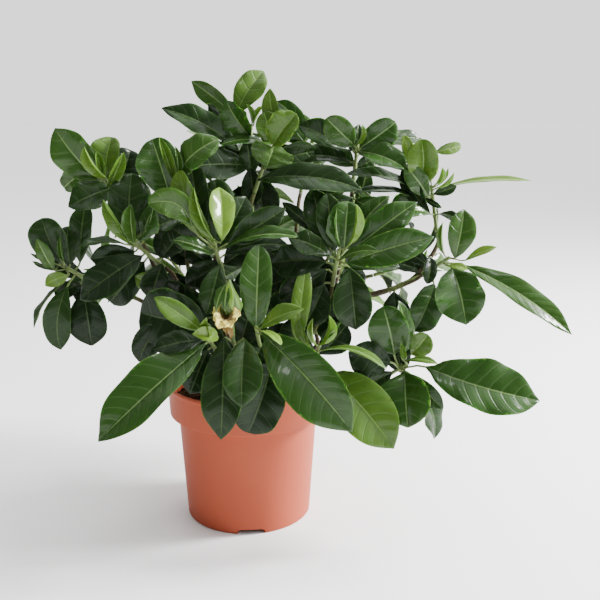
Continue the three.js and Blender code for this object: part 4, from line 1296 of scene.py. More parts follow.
    def flat_corner(self, row, corner, t, is_upper):
        """How far out and how far up a corner of the open blade lies, in mm."""
        at = BLADE_CORNERS[corner]
        half_width = max(
            self.half_wide * blade_outline(t, self.leaf.blunt),
            self.stalk_radius * (1 - smooth(t, self.TIP_CLOSES_FROM, 1)),
        )
        half_width *= 1 + self.lopsided * at * math.sin(math.pi * t)
        rib = 0 if at else 1 - self.RIB_TAPER * t
        thick = (self.UPPER_RIB if is_upper else self.LOWER_RIB) * rib
        thick += self.HALF_THICKNESS * min(1, (1 - abs(at)) / self.MARGIN_THINS)
        thick *= min(1, half_width / self.THIN_BELOW)
        between_veins = abs(math.sin(math.pi * self.veins * (row - self.STALK_ROWS) / self.blade_rows))
        swell = self.quilt * between_veins**self.SWELL_POWER * 2 * math.sqrt(abs(at) * (1 - abs(at)))
        wave_turns = self.waves * t + self.phase + self.MARGINS_OUT_OF_STEP * (at > 0)
        ruffle = self.wave * at * at * math.sin(2 * math.pi * wave_turns)
        out, up = self.section[corner]
        face = thick if is_upper else -thick
        return out * half_width, up * half_width + ruffle * half_width + swell + face

    def map_at(self, row, column):
        """Veins along the blade and shares of its half width across it."""
        corner = column if column <= LAST_CORNER else LEAF_COLUMNS - column
        return (self.veins * max(row - self.STALK_ROWS, 0) / self.blade_rows, BLADE_CORNERS[corner])

    def material_at(self, row, column):
        if row < self.STALK_ROWS:
            return STALK
        return UPPER_SIDE if column < LAST_CORNER else UNDERSIDE


def add_leaf(shape, one, root, luck, settings):
    """One leaf, with its marks on every corner."""
    surface = LeafSurface(one, root, luck, settings)
    corners = skin(
        shape, LEAF_COLUMNS, surface.rows, surface.corner_at, surface.map_at, surface.material_at,
    )
    marks = shape.verts.layers.float_vector[LEAF_MARKS]
    for corner in corners:
        corner[marks] = (one.tone, surface.own_number, surface.half_wide / MARKED_WIDTH)
    sharpen_margins(corners, surface.rows)
    close_seams(shape, corners)


def sharpen_margins(corners, rows):
    """Keeps the shading of a blade's upper and lower side apart along both margins."""
    for row in range(rows):
        for column in (0, LAST_CORNER, LEAF_COLUMNS):
            start = corners[row * (LEAF_COLUMNS + 1) + column]
            end = corners[(row + 1) * (LEAF_COLUMNS + 1) + column]
            for edge in start.link_edges:
                if edge.other_vert(start) == end:
                    edge.smooth = False


def stalk_root(lines, base):
    """The place in the stems that a leaf's stalk starts from: the nearest one that leaves it a stalk."""
    places = []
    for line in lines:
        places += evenly_spaced(line, STALK_PLACES + 1)[FIRST_STALK_PLACE:LAST_STALK_PLACE + 1]
    far_enough = [point for point in places if (point - base).length >= STALK_MIN_LENGTH]
    return min(far_enough, key=lambda point: (point - base).length)


def leafy_piece(name, node, line, radii, leaves, seed, side=()):
    """A stem with its side stems and leaves as one piece."""
    settings = bpy.context.scene.gardenia_leaves
    luck = random.Random(seed)
    start_radius, end_radius = radii
    length = (line[-1] - line[0]).length
    roots = [stalk_root([line, *side], one.base) for one in leaves]
    knuckles = [(root - line[0]).length / length for root in roots]

    def radius_at(share, angle):
        swell = sum(max(0, 1 - abs(share - knuckle) * length / KNUCKLE_REACH) for knuckle in knuckles)
        thickened = 1 + KNUCKLE_SWELL * min(swell, MOST_KNUCKLES)
        return (start_radius + (end_radius - start_radius) * share) * thickened

    def side_radius_at(share, angle):
        return end_radius * (SIDE_STEM_FOOT - SIDE_STEM_TAPER * share)

    def make(shape):
        rows = max(GREEN_STEM_FEWEST_ROWS, int(length / GREEN_STEM_ROW_SPACING))
        round_bar(shape, evenly_spaced(line, rows), radius_at, GREEN_STEM_COLUMNS, STALK)
        for stem in side:
            round_bar(shape, evenly_spaced(stem, SIDE_STEM_ROWS), side_radius_at, SIDE_STEM_COLUMNS, STALK)
        for one, root in zip(leaves, roots):
            add_leaf(shape, one, root, luck, settings)

    materials = [
        finish_named(upper_leaf, "gardenia_leaves"),
        finish_named(under_leaf, "gardenia_leaves"),
        finish_named(green_stem, "gardenia_stems"),
    ]
    return new_piece(name, make, [node], materials)


# Pot
class GARDENIA_OT_pot(bpy.types.Operator):
    """Make the nursery pot: one moulded shell with a deep rim band, a rolled lip and notches at its foot."""

    bl_idname = "gardenia.pot"
    bl_label = "Nursery pot"

    # Sizes in mm. The insets say how much less than the lip's radius the foot's and the upper wall's are.
    BASE_INSET = 14.1
    WALL_INSET = 8.2
    RIM_BAND_HEIGHT = 26
    INNER_BASE_RING = 30
    WALL_RINGS = (6, 20, 40, 60)
    FOOT_BEVEL = 0.8
    EDGE_ROUNDING = 0.35
    ROUNDED_ABOVE = math.radians(40)

    # Notches: the turn and the half width in degrees, and sizes in mm
    NOTCHES = 3
    NOTCH_TURN = 5
    NOTCH_HALF_WIDTH = 12.5
    NOTCH_HEIGHT = 4
    NOTCH_REACH = 8
    CORNER_EASE = 1.4
    EDGE_EASE = 0.4
    LEVEL_WITHIN = 0.01
    TURNED_WITHIN = 0.1
    WELDED_WITHIN = 1e-3

    def execute(self, context):
        settings = context.scene.gardenia_pot
        low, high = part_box("pot")
        self.height = (high[2] - low[2]) / MM
        self.lip = (high[0] - low[0]) / 2 / MM
        self.base = self.lip - self.BASE_INSET
        materials = [finish_named(moulded_plastic, "gardenia_pot")]
        piece = new_piece("pot_shell", self.turn, ["pot"], materials)
        wall = piece.modifiers.new("Wall", "SOLIDIFY")
        wall.thickness = settings.wall
        wall.offset = -1
        rounding = piece.modifiers.new("Moulded edges", "BEVEL")
        rounding.width = self.EDGE_ROUNDING * MM
        rounding.segments = 2
        rounding.limit_method = "ANGLE"
        rounding.angle_limit = self.ROUNDED_ABOVE
        return {"FINISHED"}

    def outline(self):
        """The outer surface from the middle of the base to the lip, as radius and height in mm."""
        height, lip, base = self.height, self.lip, self.base
        rim_foot = height - self.RIM_BAND_HEIGHT
        body = lip - self.WALL_INSET
        taper = (body - base) / rim_foot
        rings = (self.FOOT_BEVEL, self.NOTCH_HEIGHT, *self.WALL_RINGS, rim_foot - 3)
        return [
            (0, 0),
            (base - self.INNER_BASE_RING, 0),
            (base - self.NOTCH_REACH, 0),
            (base - self.FOOT_BEVEL, 0),
            *((base + taper * ring, ring) for ring in rings),
            (body, rim_foot - 0.6),
            (body + 0.6, rim_foot),
            (lip - 2.0, rim_foot),
            (lip - 1.3, rim_foot + 0.5),
            (lip - 1.15, rim_foot + 1.5),
            (lip - 0.7, rim_foot + 12),
            (lip - 0.35, height - 4.5),
            (lip - 0.3, height - 3.6),
            (lip, height - 3.1),
            (lip, height - 1.2),
            (lip - 0.5, height - 0.3),
            (lip - 1.2, height),
        ]

    def turn(self, shape):
        steps = bpy.context.scene.gardenia_pot.round_steps
        corners = [shape.verts.new((radius * MM, 0, height * MM)) for radius, height in self.outline()]
        for start, end in zip(corners, corners[1:]):
            shape.edges.new((start, end))
        bmesh.ops.spin(
            shape, geom=[*shape.verts, *shape.edges], axis=(0, 0, 1), cent=(0, 0, 0),
            angle=2 * math.pi, steps=steps, use_merge=True,
        )
        close_seams(shape, shape.verts, self.WELDED_WITHIN)
        bmesh.ops.recalc_face_normals(shape, faces=shape.faces)
        self.cut_notches(shape)
        self.ease_notches(shape, 360 / steps)

    def cut_notches(self, shape):
        """Opens the foot of the wall and the base beside it."""
        cut = []
        for face in shape.faces:
            centre = face.calc_center_median() / MM
            radius = math.hypot(centre.x, centre.y)
            in_reach = self.base - self.NOTCH_REACH < radius and centre.z < self.NOTCH_HEIGHT
            if in_reach and abs(self.off_notch(centre)) < self.NOTCH_HALF_WIDTH:
                cut.append(face)
        bmesh.ops.delete(shape, geom=cut, context="FACES")

    def ease_notches(self, shape, step):
        """Lowers the upper corners of each opening, and the places beside them a little."""
        for corner in shape.verts:
            spot = corner.co / MM
            if abs(spot.z - self.NOTCH_HEIGHT) > self.LEVEL_WITHIN:
                continue
            inside = self.NOTCH_HALF_WIDTH + self.TURNED_WITHIN - abs(self.off_notch(spot))
            if 0 <= inside < 2 * step:
                corner.co.z -= (self.CORNER_EASE if inside < step / 2 else self.EDGE_EASE) * MM

    def off_notch(self, spot):
        """How many degrees a place lies from the middle of the nearest notch. One stands near the front."""
        apart = 360 / self.NOTCHES
        angle = math.degrees(math.atan2(spot.y, spot.x)) + 90 - self.NOTCH_TURN
        return (angle + apart / 2) % apart - apart / 2


class GARDENIA_OT_compost(bpy.types.Operator):
    """Make the compost: a rough low mound inside the pot, with loose crumbs on it."""

    bl_idname = "gardenia.compost"
    bl_label = "Compost"

    RINGS = 26
    COLUMNS = 96
    EDGE_DROP = 1.2
    MOUND_SHARE = 0.8
    # Coarse and fine lumps: a layer of the noise, lumps for each mm, and height in mm
    LUMPS = ((4, 0.11, 1.3), (9, 0.31, 0.8))
    # The side below the mound: shares of the radius, and heights in mm
    SKIRT = ((1.0, COMPOST_TOP - 3), (1.0, 91), (0.87, 90))
    FOOT_SHARE = 0.79
    CRUMB_SEED = 5
    CRUMBS_FROM_WALL = 3
    CRUMB_RADII = (0.5, 1.7)
    CRUMB_FORM = ((0.7, 1.3), (0.7, 1.3), (0.5, 0.9))
    CRUMB_LIFT = 0.3
    CRUMB_JOLT = 0.3

    def execute(self, context):
        low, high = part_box("compost")
        self.radius = (high[0] - low[0]) / 2 / MM
        self.bottom = low[2] / MM
        materials = [finish_named(moist_peat, "gardenia_compost")]
        new_piece("compost_surface", self.fill, ["compost"], materials)
        return {"FINISHED"}

    def surface(self, x, y):
        """Height of the mound at a place, in mm."""
        out = math.hypot(x, y) / self.radius
        rough = sum(
            noise.noise(Vector((x, y, layer)) * closeness) * height for layer, closeness, height in self.LUMPS
        )
        mound = COMPOST_MOUND * (1 - out * out) * self.MOUND_SHARE
        return COMPOST_TOP - self.EDGE_DROP + mound + rough * (1 - out**6)

    def fill(self, shape):
        skirt = (*self.SKIRT, (self.FOOT_SHARE, self.bottom))
        rows = self.RINGS + len(skirt)

        def corner_at(row, column):
            angle = 2 * math.pi * (column % self.COLUMNS) / self.COLUMNS
            if row >= rows:
                return Vector((0, 0, self.bottom))
            if row < self.RINGS:
                out = self.radius * row / self.RINGS
                x, y = out * math.cos(angle), out * math.sin(angle)
                return Vector((x, y, self.surface(x, y)))
            share, height = skirt[row - self.RINGS]
            out = self.radius * share
            return Vector((out * math.cos(angle), out * math.sin(angle), height))

        corners = skin(shape, self.COLUMNS, rows, corner_at)
        close_seams(shape, corners)
        bmesh.ops.recalc_face_normals(shape, faces=shape.faces)
        luck = random.Random(self.CRUMB_SEED)
        for _ in range(bpy.context.scene.gardenia_compost.crumbs):
            self.add_crumb(shape, luck)

    def add_crumb(self, shape, luck):
        out = (self.radius - self.CRUMBS_FROM_WALL) * math.sqrt(luck.random())
        angle = luck.uniform(0, 2 * math.pi)
        x, y = out * math.cos(angle), out * math.sin(angle)
        size = luck.uniform(*self.CRUMB_RADII)
        crumb = bmesh.ops.create_icosphere(shape, subdivisions=1, radius=size * MM)["verts"]
        squash = Vector([luck.uniform(*spread) for spread in self.CRUMB_FORM])
        middle = Vector((x, y, self.surface(x, y) + self.CRUMB_LIFT * size))
        for corner in crumb:
            jolt = 1 + self.CRUMB_JOLT * luck.uniform(-1, 1)
            corner.co = corner.co * squash * jolt + middle * MM


# Woody stems
class GARDENIA_OT_woody_stems(bpy.types.Operator):
    """Make the woody stems: rooted trunks that fork into knotty twigs."""

    bl_idname = "gardenia.woody_stems"
    bl_label = "Woody stems"

    # A trunk keeps this share of its radius up to its fork. A twig's radii are in mm.
    TRUNK_END = 0.75
    TRUNK_COLUMNS = 16
    TWIG_START = 2.0
    TWIG_END = 1.6
    TWIG_COLUMNS = 14
    TWIG_OVERLAP = 0.1
    FIRST_TWIG_SEED = 50
    SEEDS_FOR_A_STEM = 10
    ROW_SPACING = 1.9
    FEWEST_ROWS = 10
    # Leaf scars ring the bark every so many mm, and swell it by a share of its radius
    KNOT_SPACING = 17
    KNOT_SHARPNESS = 9
    KNOT_SWELL = 0.13
    LUMP_SWELL = 0.12
    LUMPS_ROUND = 1.4
    LUMPS_ALONG = 0.22
    SEED_SHIFT = 3.7

    def execute(self, context):
        materials = [finish_named(old_bark, "gardenia_stems")]
        for number, name in enumerate(WOODY_STEMS):

            def make(shape, name=name, seed=number):
                self.add_stem(shape, name, seed)

            new_piece(f"bark_{name}", make, [f"woody_stem_{name}"], materials)
        return {"FINISHED"}

    def add_stem(self, shape, name, seed):
        """A trunk from its root to its fork, and a twig to each of its shoots."""
        (x, y), fork = WOODY_STEMS[name]
        fork = Vector(fork)
        heights = (
            COMPOST_TOP - ROOTED_DEPTH,
            COMPOST_TOP - ROOTED_DEPTH / 2,
            COMPOST_TOP,
            COMPOST_TOP + 2 * COMPOST_MOUND,
        )
        trunk = [*(Vector((x, y, height)) for height in heights), fork]
        trunk_radius = bpy.context.scene.gardenia_stems.trunk_radius / MM
        self.add_bar(shape, trunk, trunk_radius, trunk_radius * self.TRUNK_END, self.TRUNK_COLUMNS, seed)
        below_fork = fork.lerp(Vector((x, y, COMPOST_TOP)), self.TWIG_OVERLAP)
        own_shoots = [one for one in all_shoots() if one.stem == name]
        first_seed = self.SEEDS_FOR_A_STEM * seed + self.FIRST_TWIG_SEED
        for number, one in enumerate(own_shoots):
            lead_in = one.start - one.direction * TWIG_LEAD_IN
            twig = [below_fork, fork.lerp(lead_in, self.TWIG_OVERLAP), *one.via, lead_in, one.start]
            self.add_bar(shape, twig, self.TWIG_START, self.TWIG_END, self.TWIG_COLUMNS, first_seed + number)

    def add_bar(self, shape, points, start_radius, end_radius, columns, seed):
        """A knotty bar: leaf scars ring it, and its surface is uneven."""
        length = sum((b - a).length for a, b in zip(points, points[1:]))
        line = catmull_rom(points, max(self.FEWEST_ROWS, int(length / self.ROW_SPACING)))
        shift = seed * self.SEED_SHIFT

        def radius_at(share, angle):
            base = start_radius + (end_radius - start_radius) * share
            along = share * length
            turn = (along + shift) / self.KNOT_SPACING % 1
            knot = max(0, 1 - abs(turn - 0.5) * self.KNOT_SHARPNESS)
            across = (math.cos(angle) * self.LUMPS_ROUND, math.sin(angle) * self.LUMPS_ROUND)
            rough = noise.noise(Vector((*across, along * self.LUMPS_ALONG + shift)))
            return base * (1 + self.KNOT_SWELL * knot + self.LUMP_SWELL * rough)

        round_bar(shape, line, radius_at, columns)


# Leafy shoots
def mulberry(seed):
    """The same seeded draws as the part's source uses for its back leaves."""
    state = seed
    word = 0xFFFFFFFF

    def times(a, b):
        return (a * b) & word

    def draw():
        nonlocal state
        state = (state + 0x6D2B79F5) & word
        mixed = times(state ^ (state >> 15), 1 | state)
        mixed = ((mixed + times(mixed ^ (mixed >> 7), 61 | mixed)) & word) ^ mixed
        return (mixed ^ (mixed >> 14)) / (word + 1)

    return draw


def varied(form, whorl, draw):
    first, per_whorl, varies = form
    return first + per_whorl * whorl + varies * draw()


def whorled_leaves(apex, axis, draw):
    """Leaves in whorls round a back shoot, the lowest longest and most spread."""
    sideways = across_to(BACK_WHORL_SIDE, axis)
    leaves = []
    for whorl in range(BACK_WHORLS):
        for number in range(BACK_LEAVES_IN_WHORL):
            turns = (number + whorl / 2) / BACK_LEAVES_IN_WHORL + BACK_TURN_VARIES * draw()
            out = Quaternion(axis, turns * 2 * math.pi) @ sideways
            lean = math.radians(varied(BACK_LEAN, whorl, draw))
            heading = axis * math.cos(lean) + out * math.sin(lean)
            if heading.y < BACK_FOREMOST:
                continue
            down = BACK_WHORL_BELOW_TIP + BACK_WHORL_SPACING * whorl
            base = apex - axis * down + heading * BACK_STALK_REACH
            length = varied(BACK_LENGTH, whorl, draw)
            wide = length * (BACK_WIDTH[0] + BACK_WIDTH[1] * draw())
            bow = USUAL_BOW + BACK_BOW_VARIES * draw()
            tone = BACK_TONES[(3 * number + 2 * whorl + int(length)) % len(BACK_TONES)]
            if heading.z > BACK_LOWEST:
                leaves.append(Leaf(base, base + heading * length, wide, axis, TONES[tone], bow=bow))
    return leaves


def tip_leaves(apex, axis, number):
    """New leaves at the tip of a back shoot, still folded."""
    sideways = across_to(BACK_TIP_SIDE, axis)
    leaves = []
    for turn, length, wide in BACK_TIP_LEAVES:
        out = Quaternion(axis, (turn + BACK_TIP_TURN * number) * 2 * math.pi) @ sideways
        heading = (axis + out * BACK_TIP_SPREAD).normalized()
        base = apex + axis * BACK_TIP_ABOVE + out * BACK_TIP_REACH
        tip = base + heading * length
        leaves.append(Leaf(base, tip, wide, axis - out, TONES["bright"], fold=BACK_TIP_FOLD))
    return leaves


def all_shoots():
    """The front shoots and the back ones, in the order of the part's source."""
    back = []
    for number, (name, stem, start, apex) in enumerate(BACK_SHOOTS):
        one = Shoot(name, stem, Vector(start), Vector(apex))
        one.leaves += whorled_leaves(one.apex, one.direction, mulberry(FIRST_BACK_SEED + number))
        one.leaves += tip_leaves(one.apex, one.direction, number)
        back.append(one)
    return [*SHOOTS, *back]


class GARDENIA_OT_leafy_shoots(bpy.types.Operator):
    """Make the leafy shoots: green stems with stalked, quilted, glossy leaves."""

    bl_idname = "gardenia.leafy_shoots"
    bl_label = "Leafy shoots"

    END_RADIUS = 1.3
    FIRST_SEED = 100

    def execute(self, context):
        radii = (context.scene.gardenia_stems.shoot_radius / MM, self.END_RADIUS)
        for number, one in enumerate(all_shoots()):
            line = [one.start + one.direction * STEM_GAP, one.apex]
            leafy_piece(
                f"leafy_{one.name}", f"shoot_{one.name}",
                line, radii, one.leaves, self.FIRST_SEED + number, one.side,
            )
        return {"FINISHED"}


class GARDENIA_OT_young_tufts(bpy.types.Operator):
    """Make the tufts of young leaves and rolled leaf buds at the tips of the shoots."""

    bl_idname = "gardenia.young_tufts"
    bl_label = "Young tufts"

    STEM_RADIUS = 1.2
    FIRST_SEED = 300

    def execute(self, context):
        radii = (self.STEM_RADIUS, self.STEM_RADIUS)
        for number, one in enumerate(SHOOTS):
            if not one.young:
                continue
            foot = one.apex + one.direction * STEM_GAP
            line = [foot, foot + one.direction * YOUNG_STEM_LENGTH]
            leafy_piece(
                f"tuft_{one.name}", f"young_{one.name}",
                line, radii, one.young, self.FIRST_SEED + number,
            )
        return {"FINISHED"}


# Withered flower
FLOWER_TOP = place((229, 280, -92))
# The radius in mm of the flower's stalk and tube, by the share of their length
FLOWER_OUTLINE = (
    (0, 1.1),
    (0.4, 1.2),
    (0.48, 4.4),
    (0.53, 7.6),
    (0.57, 8.2),
    (0.61, 7.8),
    (0.84, 3.3),
    (0.96, 1.7),
    (1, 0.6),
)
CALYX_LOBES = [
    leaf((232, 309, -98), (228.5, 282, -94), 5.5, "ffu", "bright", fold=8, bow=0.07),
    leaf((216, 310, -96), (226, 284, -93), 8, "ffl", "olive", fold=8, bow=0.06),
    leaf((225, 310, -99), (228, 286, -95), 7, "fffl", "olive", fold=8, bow=0.06),
]
CUP_MIDDLE = place((226, 316, -92))
CUP_FACING = Vector((-0.05, -0.82, 0.58)).normalized()
CUP_RADIUS = 8.9
CUP_DEPTH = 6.5
# Where the petals' tips are, and how wide the petals are in mm
PETALS = [
    (place((212, 320, -98)), 9),
    (place((219, 328, -102)), 12),
    (place((232, 328, -102)), 11),
    (place((242, 315, -98)), 10),
    (place((226, 336, -97)), 5),
    (place((232, 340, -96)), 4),
]


def flower_foot():
    flowering = next(one for one in SHOOTS if one.name == "flowering")
    return flowering.apex + flowering.direction * STEM_GAP


def value_along(outline, share):
    """The second number of an outline where its first one is share."""
    for (low, start), (high, end) in zip(outline, outline[1:]):
        if share <= high:
            return start + (end - start) * (share - low) / (high - low)
    return outline[-1][1]


class GARDENIA_OT_calyx(bpy.types.Operator):
    """Make the flower's stalk, its ribbed green tube and the lobes that clasp it."""

    bl_idname = "gardenia.calyx"
    bl_label = "Calyx"

    ROWS = 60
    COLUMNS = 36
    RIBS = 6
    RIB_HEIGHT = 0.07
    RIBS_RISE = (0.46, 0.6)
    LOBES_START = 0.5
    LOBE_SEED = 71

    def execute(self, context):
        materials = [
            finish_named(upper_leaf, "gardenia_leaves"),
            finish_named(under_leaf, "gardenia_leaves"),
            finish_named(calyx_skin, "gardenia_leaves"),
        ]
        new_piece("calyx_tube", self.grow, ["flower_calyx"], materials)
        return {"FINISHED"}

    def grow(self, shape):
        foot = flower_foot()
        round_bar(shape, evenly_spaced([foot, FLOWER_TOP], self.ROWS), self.radius_at, self.COLUMNS, STALK)
        luck = random.Random(self.LOBE_SEED)
        root = foot.lerp(FLOWER_TOP, self.LOBES_START)
        for lobe in CALYX_LOBES:
            add_leaf(shape, lobe, root, luck, bpy.context.scene.gardenia_leaves)

    def radius_at(self, share, angle):
        ribbed = self.RIB_HEIGHT * smooth(share, *self.RIBS_RISE)
        return value_along(FLOWER_OUTLINE, share) * (1 + ribbed * math.cos(self.RIBS * angle))


class GARDENIA_OT_petals(bpy.types.Operator):
    """Make the withered petals: a torn, crumpled cup, and dry shreds that hang from it."""

    bl_idname = "gardenia.petals"
    bl_label = "Withered petals"

    # The cup: its rows go from its middle out to the rim and back on its outside
    CUP_COLUMNS = 72
    CUP_ROWS = 16
    CUP_WALL = 0.35
    CUP_FLARE = 0.9
    CUP_SINK = 0.5
    # Waves round the cup, their height and their start: tears as shares of its radius, pleats in mm
    TEARS = ((3, 0.12, 1.1), (5, 0.09, 0.4), (11, 0.05, 0))
    FINE_PLEATS = (9, 0.5, 0)
    DEEP_PLEATS = (4, 0.9, 2)
    CUP_CRUMPLE = (0.35, 1.3)

    # A petal: sizes in mm, or as shares of its length
    COLUMNS = 28
    ROWS = 18
    START_RADIUS = 2.7
    UPPER_WAY = Vector((0, -1, 0.8))
    ROOT_SHARE = 0.15
    CURL = 0.28
    MARGIN_CURL = 0.9
    HALF_THICKNESS = 0.22
    MARGIN_THINS = 4
    TIP_THINS = 6
    # Crumples: lumps for each mm, height in mm, and how far the noise is moved from petal to petal
    COARSE_CRUMPLE = (0.28, 1.5, Vector((7, 0, 0)))
    FINE_CRUMPLE = (0.8, 0.6, Vector((0, 5, 0)))
    # Without a seed of its own, this noise changes from run to run
    CRUMPLE_SEED = 1
    # How far a petal or a narrow shred has kept its cream colour, as the map's number at the tip
    SHRED_WIDTH = 5
    PETAL_KEEPS = 2
    SHRED_KEEPS = 0.5

    def execute(self, context):
        noise.seed_set(self.CRUMPLE_SEED)
        materials = [finish_named(dried_petal, "gardenia_flower")]
        new_piece("petal_remains", self.grow, ["withered_petals"], materials)
        return {"FINISHED"}

    def grow(self, shape):
        self.add_cup(shape)
        for number, (tip, wide) in enumerate(PETALS):
            self.add_petal(shape, tip, wide, number)

    def add_cup(self, shape):
        """A shallow cup with a torn rim: its inside from the middle out, then its outside back in."""
        sideways = across_to(Vector((1, 0, 0)), CUP_FACING)
        upwards = CUP_FACING.cross(sideways)
        rows = 2 * self.CUP_ROWS + 1
        closeness, crumple = self.CUP_CRUMPLE

        def out_share(row):
            return (row if row <= self.CUP_ROWS else rows - row) / self.CUP_ROWS

        def corner_at(row, column):
            t = out_share(row)
            angle = 2 * math.pi * (column % self.CUP_COLUMNS) / self.CUP_COLUMNS

            def wave(waves, height, start):
                return height * math.sin(waves * angle + start)

            torn = sum(wave(*tear) for tear in self.TEARS)
            pleat = wave(*self.FINE_PLEATS) * t + wave(*self.DEEP_PLEATS) * t**3
            out = CUP_RADIUS * math.sin(math.pi / 2 * t) * (1 + torn * t**2)
            rise = CUP_DEPTH * (self.CUP_FLARE * t**2 - self.CUP_SINK) + pleat
            if row > self.CUP_ROWS:
                rise -= self.CUP_WALL
            outwards = sideways * math.cos(angle) + upwards * math.sin(angle)
            spot = CUP_MIDDLE + outwards * out + CUP_FACING * rise
            return spot + noise.noise_vector(spot * closeness) * crumple * t

        def map_at(row, column):
            return (self.PETAL_KEEPS * out_share(row), 0.0)

        corners = skin(shape, self.CUP_COLUMNS, rows, corner_at, map_at)
        close_seams(shape, corners)

    def add_petal(self, shape, tip, wide, number):
        """A closed, crumpled strip from the foot of the cup to a petal's tip."""
        centre = CUP_MIDDLE - CUP_FACING * CUP_DEPTH / 2
        heading = (tip - centre).normalized()
        start = centre + heading * self.START_RADIUS
        length = (tip - start).length
        upper = across_to(self.UPPER_WAY, heading)
        across = heading.cross(upper)
        half = self.COLUMNS // 2

        def corner_at(row, column):
            column %= self.COLUMNS
            corner = column if column <= half else self.COLUMNS - column
            face_side = 1 if column <= half else -1
            at = 2 * corner / half - 1
            t = row / self.ROWS
            outline = math.sqrt(math.sin(math.pi * min(self.ROOT_SHARE + (1 - self.ROOT_SHARE) * t, 1)))
            curl = self.CURL * length * math.sin(math.pi * t) + self.MARGIN_CURL * at**2 * (0.5 + t)
            spot = start + heading * length * t + across * at * (wide / 2 * outline) + upper * curl
            crumple = Vector()
            for closeness, height, moved in (self.COARSE_CRUMPLE, self.FINE_CRUMPLE):
                crumple += noise.noise_vector(spot * closeness + moved * number) * height * t
            thinned = min(1, self.MARGIN_THINS * (1 - abs(at))) * min(1, self.TIP_THINS * (1 - t))
            return spot + crumple + upper * (face_side * self.HALF_THICKNESS * thinned)

        def map_at(row, column):
            corner = column if column <= half else self.COLUMNS - column
            keeps = self.PETAL_KEEPS if wide > self.SHRED_WIDTH else self.SHRED_KEEPS
            return (keeps * row / self.ROWS, 2 * corner / half - 1)

        corners = skin(shape, self.COLUMNS, self.ROWS, corner_at, map_at)
        close_seams(shape, corners)


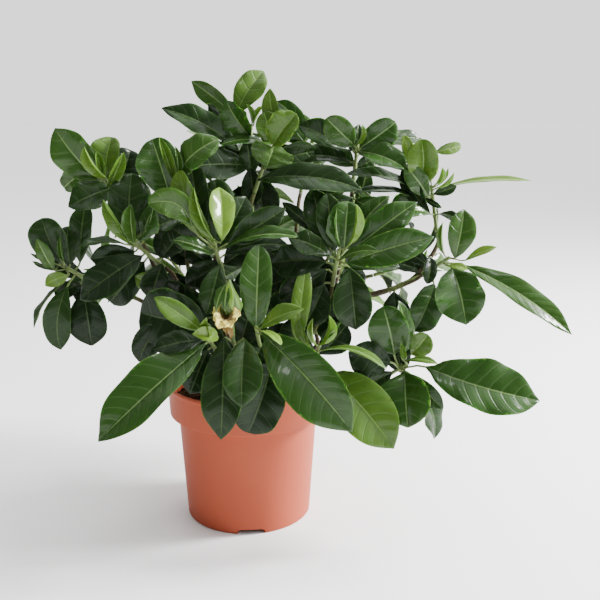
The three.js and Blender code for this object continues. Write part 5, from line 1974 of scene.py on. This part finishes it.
# Stage
class GARDENIA_OT_stage(bpy.types.Operator):
    """Make the plain floor, the soft light and the camera at the photograph's angle."""

    bl_idname = "gardenia.stage"
    bl_label = "Stage"

    # Sizes and places in metres
    FLOOR_RADIUS = 30
    FLOOR_SIDES = 96
    LIGHTS_AIM = Vector((0.04, 0, 0.19))
    KEY_LIGHT_PLACE = Vector((1.3, 0.15, 1.0))
    KEY_LIGHT_SIZE = 0.4
    TOP_LIGHT_PLACE = Vector((0.2, -0.65, 1.45))
    TOP_LIGHT_SIZE = 0.24
    SEEN_AS_FAR_AS = 100
    # As bright as the floor is far away, so that no horizon shows
    BACKDROP = 1.66
    # The surroundings are brightest behind the plant, to its right and above, and darker low down
    BRIGHT_SIDE = (0.7, 0.7, 0.3)
    BRIGHT_SIDE_GROWS = (-0.5, 0.95)
    DARK_SIDE = 0.08
    LOW_DOWN = 0.64
    HIGH_UP_GROWS = (0.12, 0.6)

    def execute(self, context):
        settings = context.scene.gardenia_stage
        self.add_floor()
        self.add_surroundings(settings.sky_strength)
        self.add_light("key light", self.KEY_LIGHT_PLACE, self.KEY_LIGHT_SIZE, settings.key_power)
        self.add_light("top light", self.TOP_LIGHT_PLACE, self.TOP_LIGHT_SIZE, settings.top_power)
        self.add_camera(context)
        return {"FINISHED"}

    def add_floor(self):
        shape = bmesh.new()
        bmesh.ops.create_circle(shape, cap_ends=True, segments=self.FLOOR_SIDES, radius=self.FLOOR_RADIUS)
        bmesh.ops.recalc_face_normals(shape, faces=shape.faces)
        mesh = bpy.data.meshes.new("floor")
        shape.to_mesh(mesh)
        shape.free()
        mesh.materials.append(seamless_floor())
        floor = bpy.data.objects.new("floor", mesh)
        bpy.context.collection.objects.link(floor)

    def add_surroundings(self, strength):
        world = bpy.data.worlds.new("white surroundings")
        world.use_nodes = True
        background = world.node_tree.nodes["Background"]
        background.inputs["Color"].default_value = (1, 1, 1, 1)
        nodes = Nodes(world.node_tree)
        right, away, up = nodes.parts(nodes.node("ShaderNodeTexCoord", None, output=0))
        to_right, to_back, to_top = self.BRIGHT_SIDE
        bright = (to_right * right + to_back * away + to_top * up).step(*self.BRIGHT_SIDE_GROWS)
        high = up.step(*self.HIGH_UP_GROWS)
        by_side = self.DARK_SIDE + (1 - self.DARK_SIDE) * bright
        by_height = self.LOW_DOWN + (1 - self.LOW_DOWN) * high
        lit = strength * by_side * by_height
        seen = nodes.node("ShaderNodeLightPath")
        nodes.give(background.inputs["Strength"], lit + seen * (self.BACKDROP - lit))
        bpy.context.scene.world = world

    def add_light(self, name, spot, size, power):
        light = bpy.data.lights.new(name, "AREA")
        light.size = size
        light.energy = power
        lamp = bpy.data.objects.new(name, light)
        lamp.location = spot
        lamp.rotation_euler = (self.LIGHTS_AIM - spot).to_track_quat("-Z", "Y").to_euler()
        bpy.context.collection.objects.link(lamp)

    def add_camera(self, context):
        camera = bpy.data.cameras.new("camera")
        camera.sensor_width = SENSOR_WIDTH
        camera.lens = FOCAL_LENGTH / PICTURE_WIDTH * SENSOR_WIDTH
        camera.clip_end = self.SEEN_AS_FAR_AS
        viewer = bpy.data.objects.new("camera", camera)
        viewer.location = CAMERA_PLACE * MM
        viewer.rotation_euler = (math.pi / 2 - CAMERA_PITCH, 0, 0)
        context.collection.objects.link(viewer)
        context.scene.camera = viewer


# Panel and registering
STEPS = (
    GARDENIA_OT_stage,
    GARDENIA_OT_pot,
    GARDENIA_OT_compost,
    GARDENIA_OT_woody_stems,
    GARDENIA_OT_leafy_shoots,
    GARDENIA_OT_young_tufts,
    GARDENIA_OT_calyx,
    GARDENIA_OT_petals,
)


class GARDENIA_PT_panel(bpy.types.Panel):
    """Lists the gardenia's pieces and their settings."""

    bl_idname = "GARDENIA_PT_panel"
    bl_label = "Potted gardenia"
    bl_space_type = "VIEW_3D"
    bl_region_type = "UI"
    bl_category = "Gardenia"

    def draw(self, context):
        layout = self.layout
        for step in STEPS:
            layout.operator(step.bl_idname)
        for name, group in SETTINGS.items():
            box = layout.box()
            box.label(text=group.__doc__)
            for setting in group.__annotations__:
                box.prop(getattr(context.scene, name), setting)


CLASSES = (*SETTINGS.values(), *STEPS, GARDENIA_PT_panel)


def register():
    for one in CLASSES:
        bpy.utils.register_class(one)
    for name, group in SETTINGS.items():
        setattr(bpy.types.Scene, name, bpy.props.PointerProperty(type=group))


def unregister():
    for name in SETTINGS:
        delattr(bpy.types.Scene, name)
    for one in reversed(CLASSES):
        bpy.utils.unregister_class(one)
    FINISHES.clear()


def main():
    register()
    bpy.ops.gardenia.stage()
    bpy.ops.gardenia.pot()
    bpy.ops.gardenia.compost()
    bpy.ops.gardenia.woody_stems()
    bpy.ops.gardenia.leafy_shoots()
    bpy.ops.gardenia.young_tufts()
    bpy.ops.gardenia.calyx()
    bpy.ops.gardenia.petals()


if __name__ == "__main__":
    main()
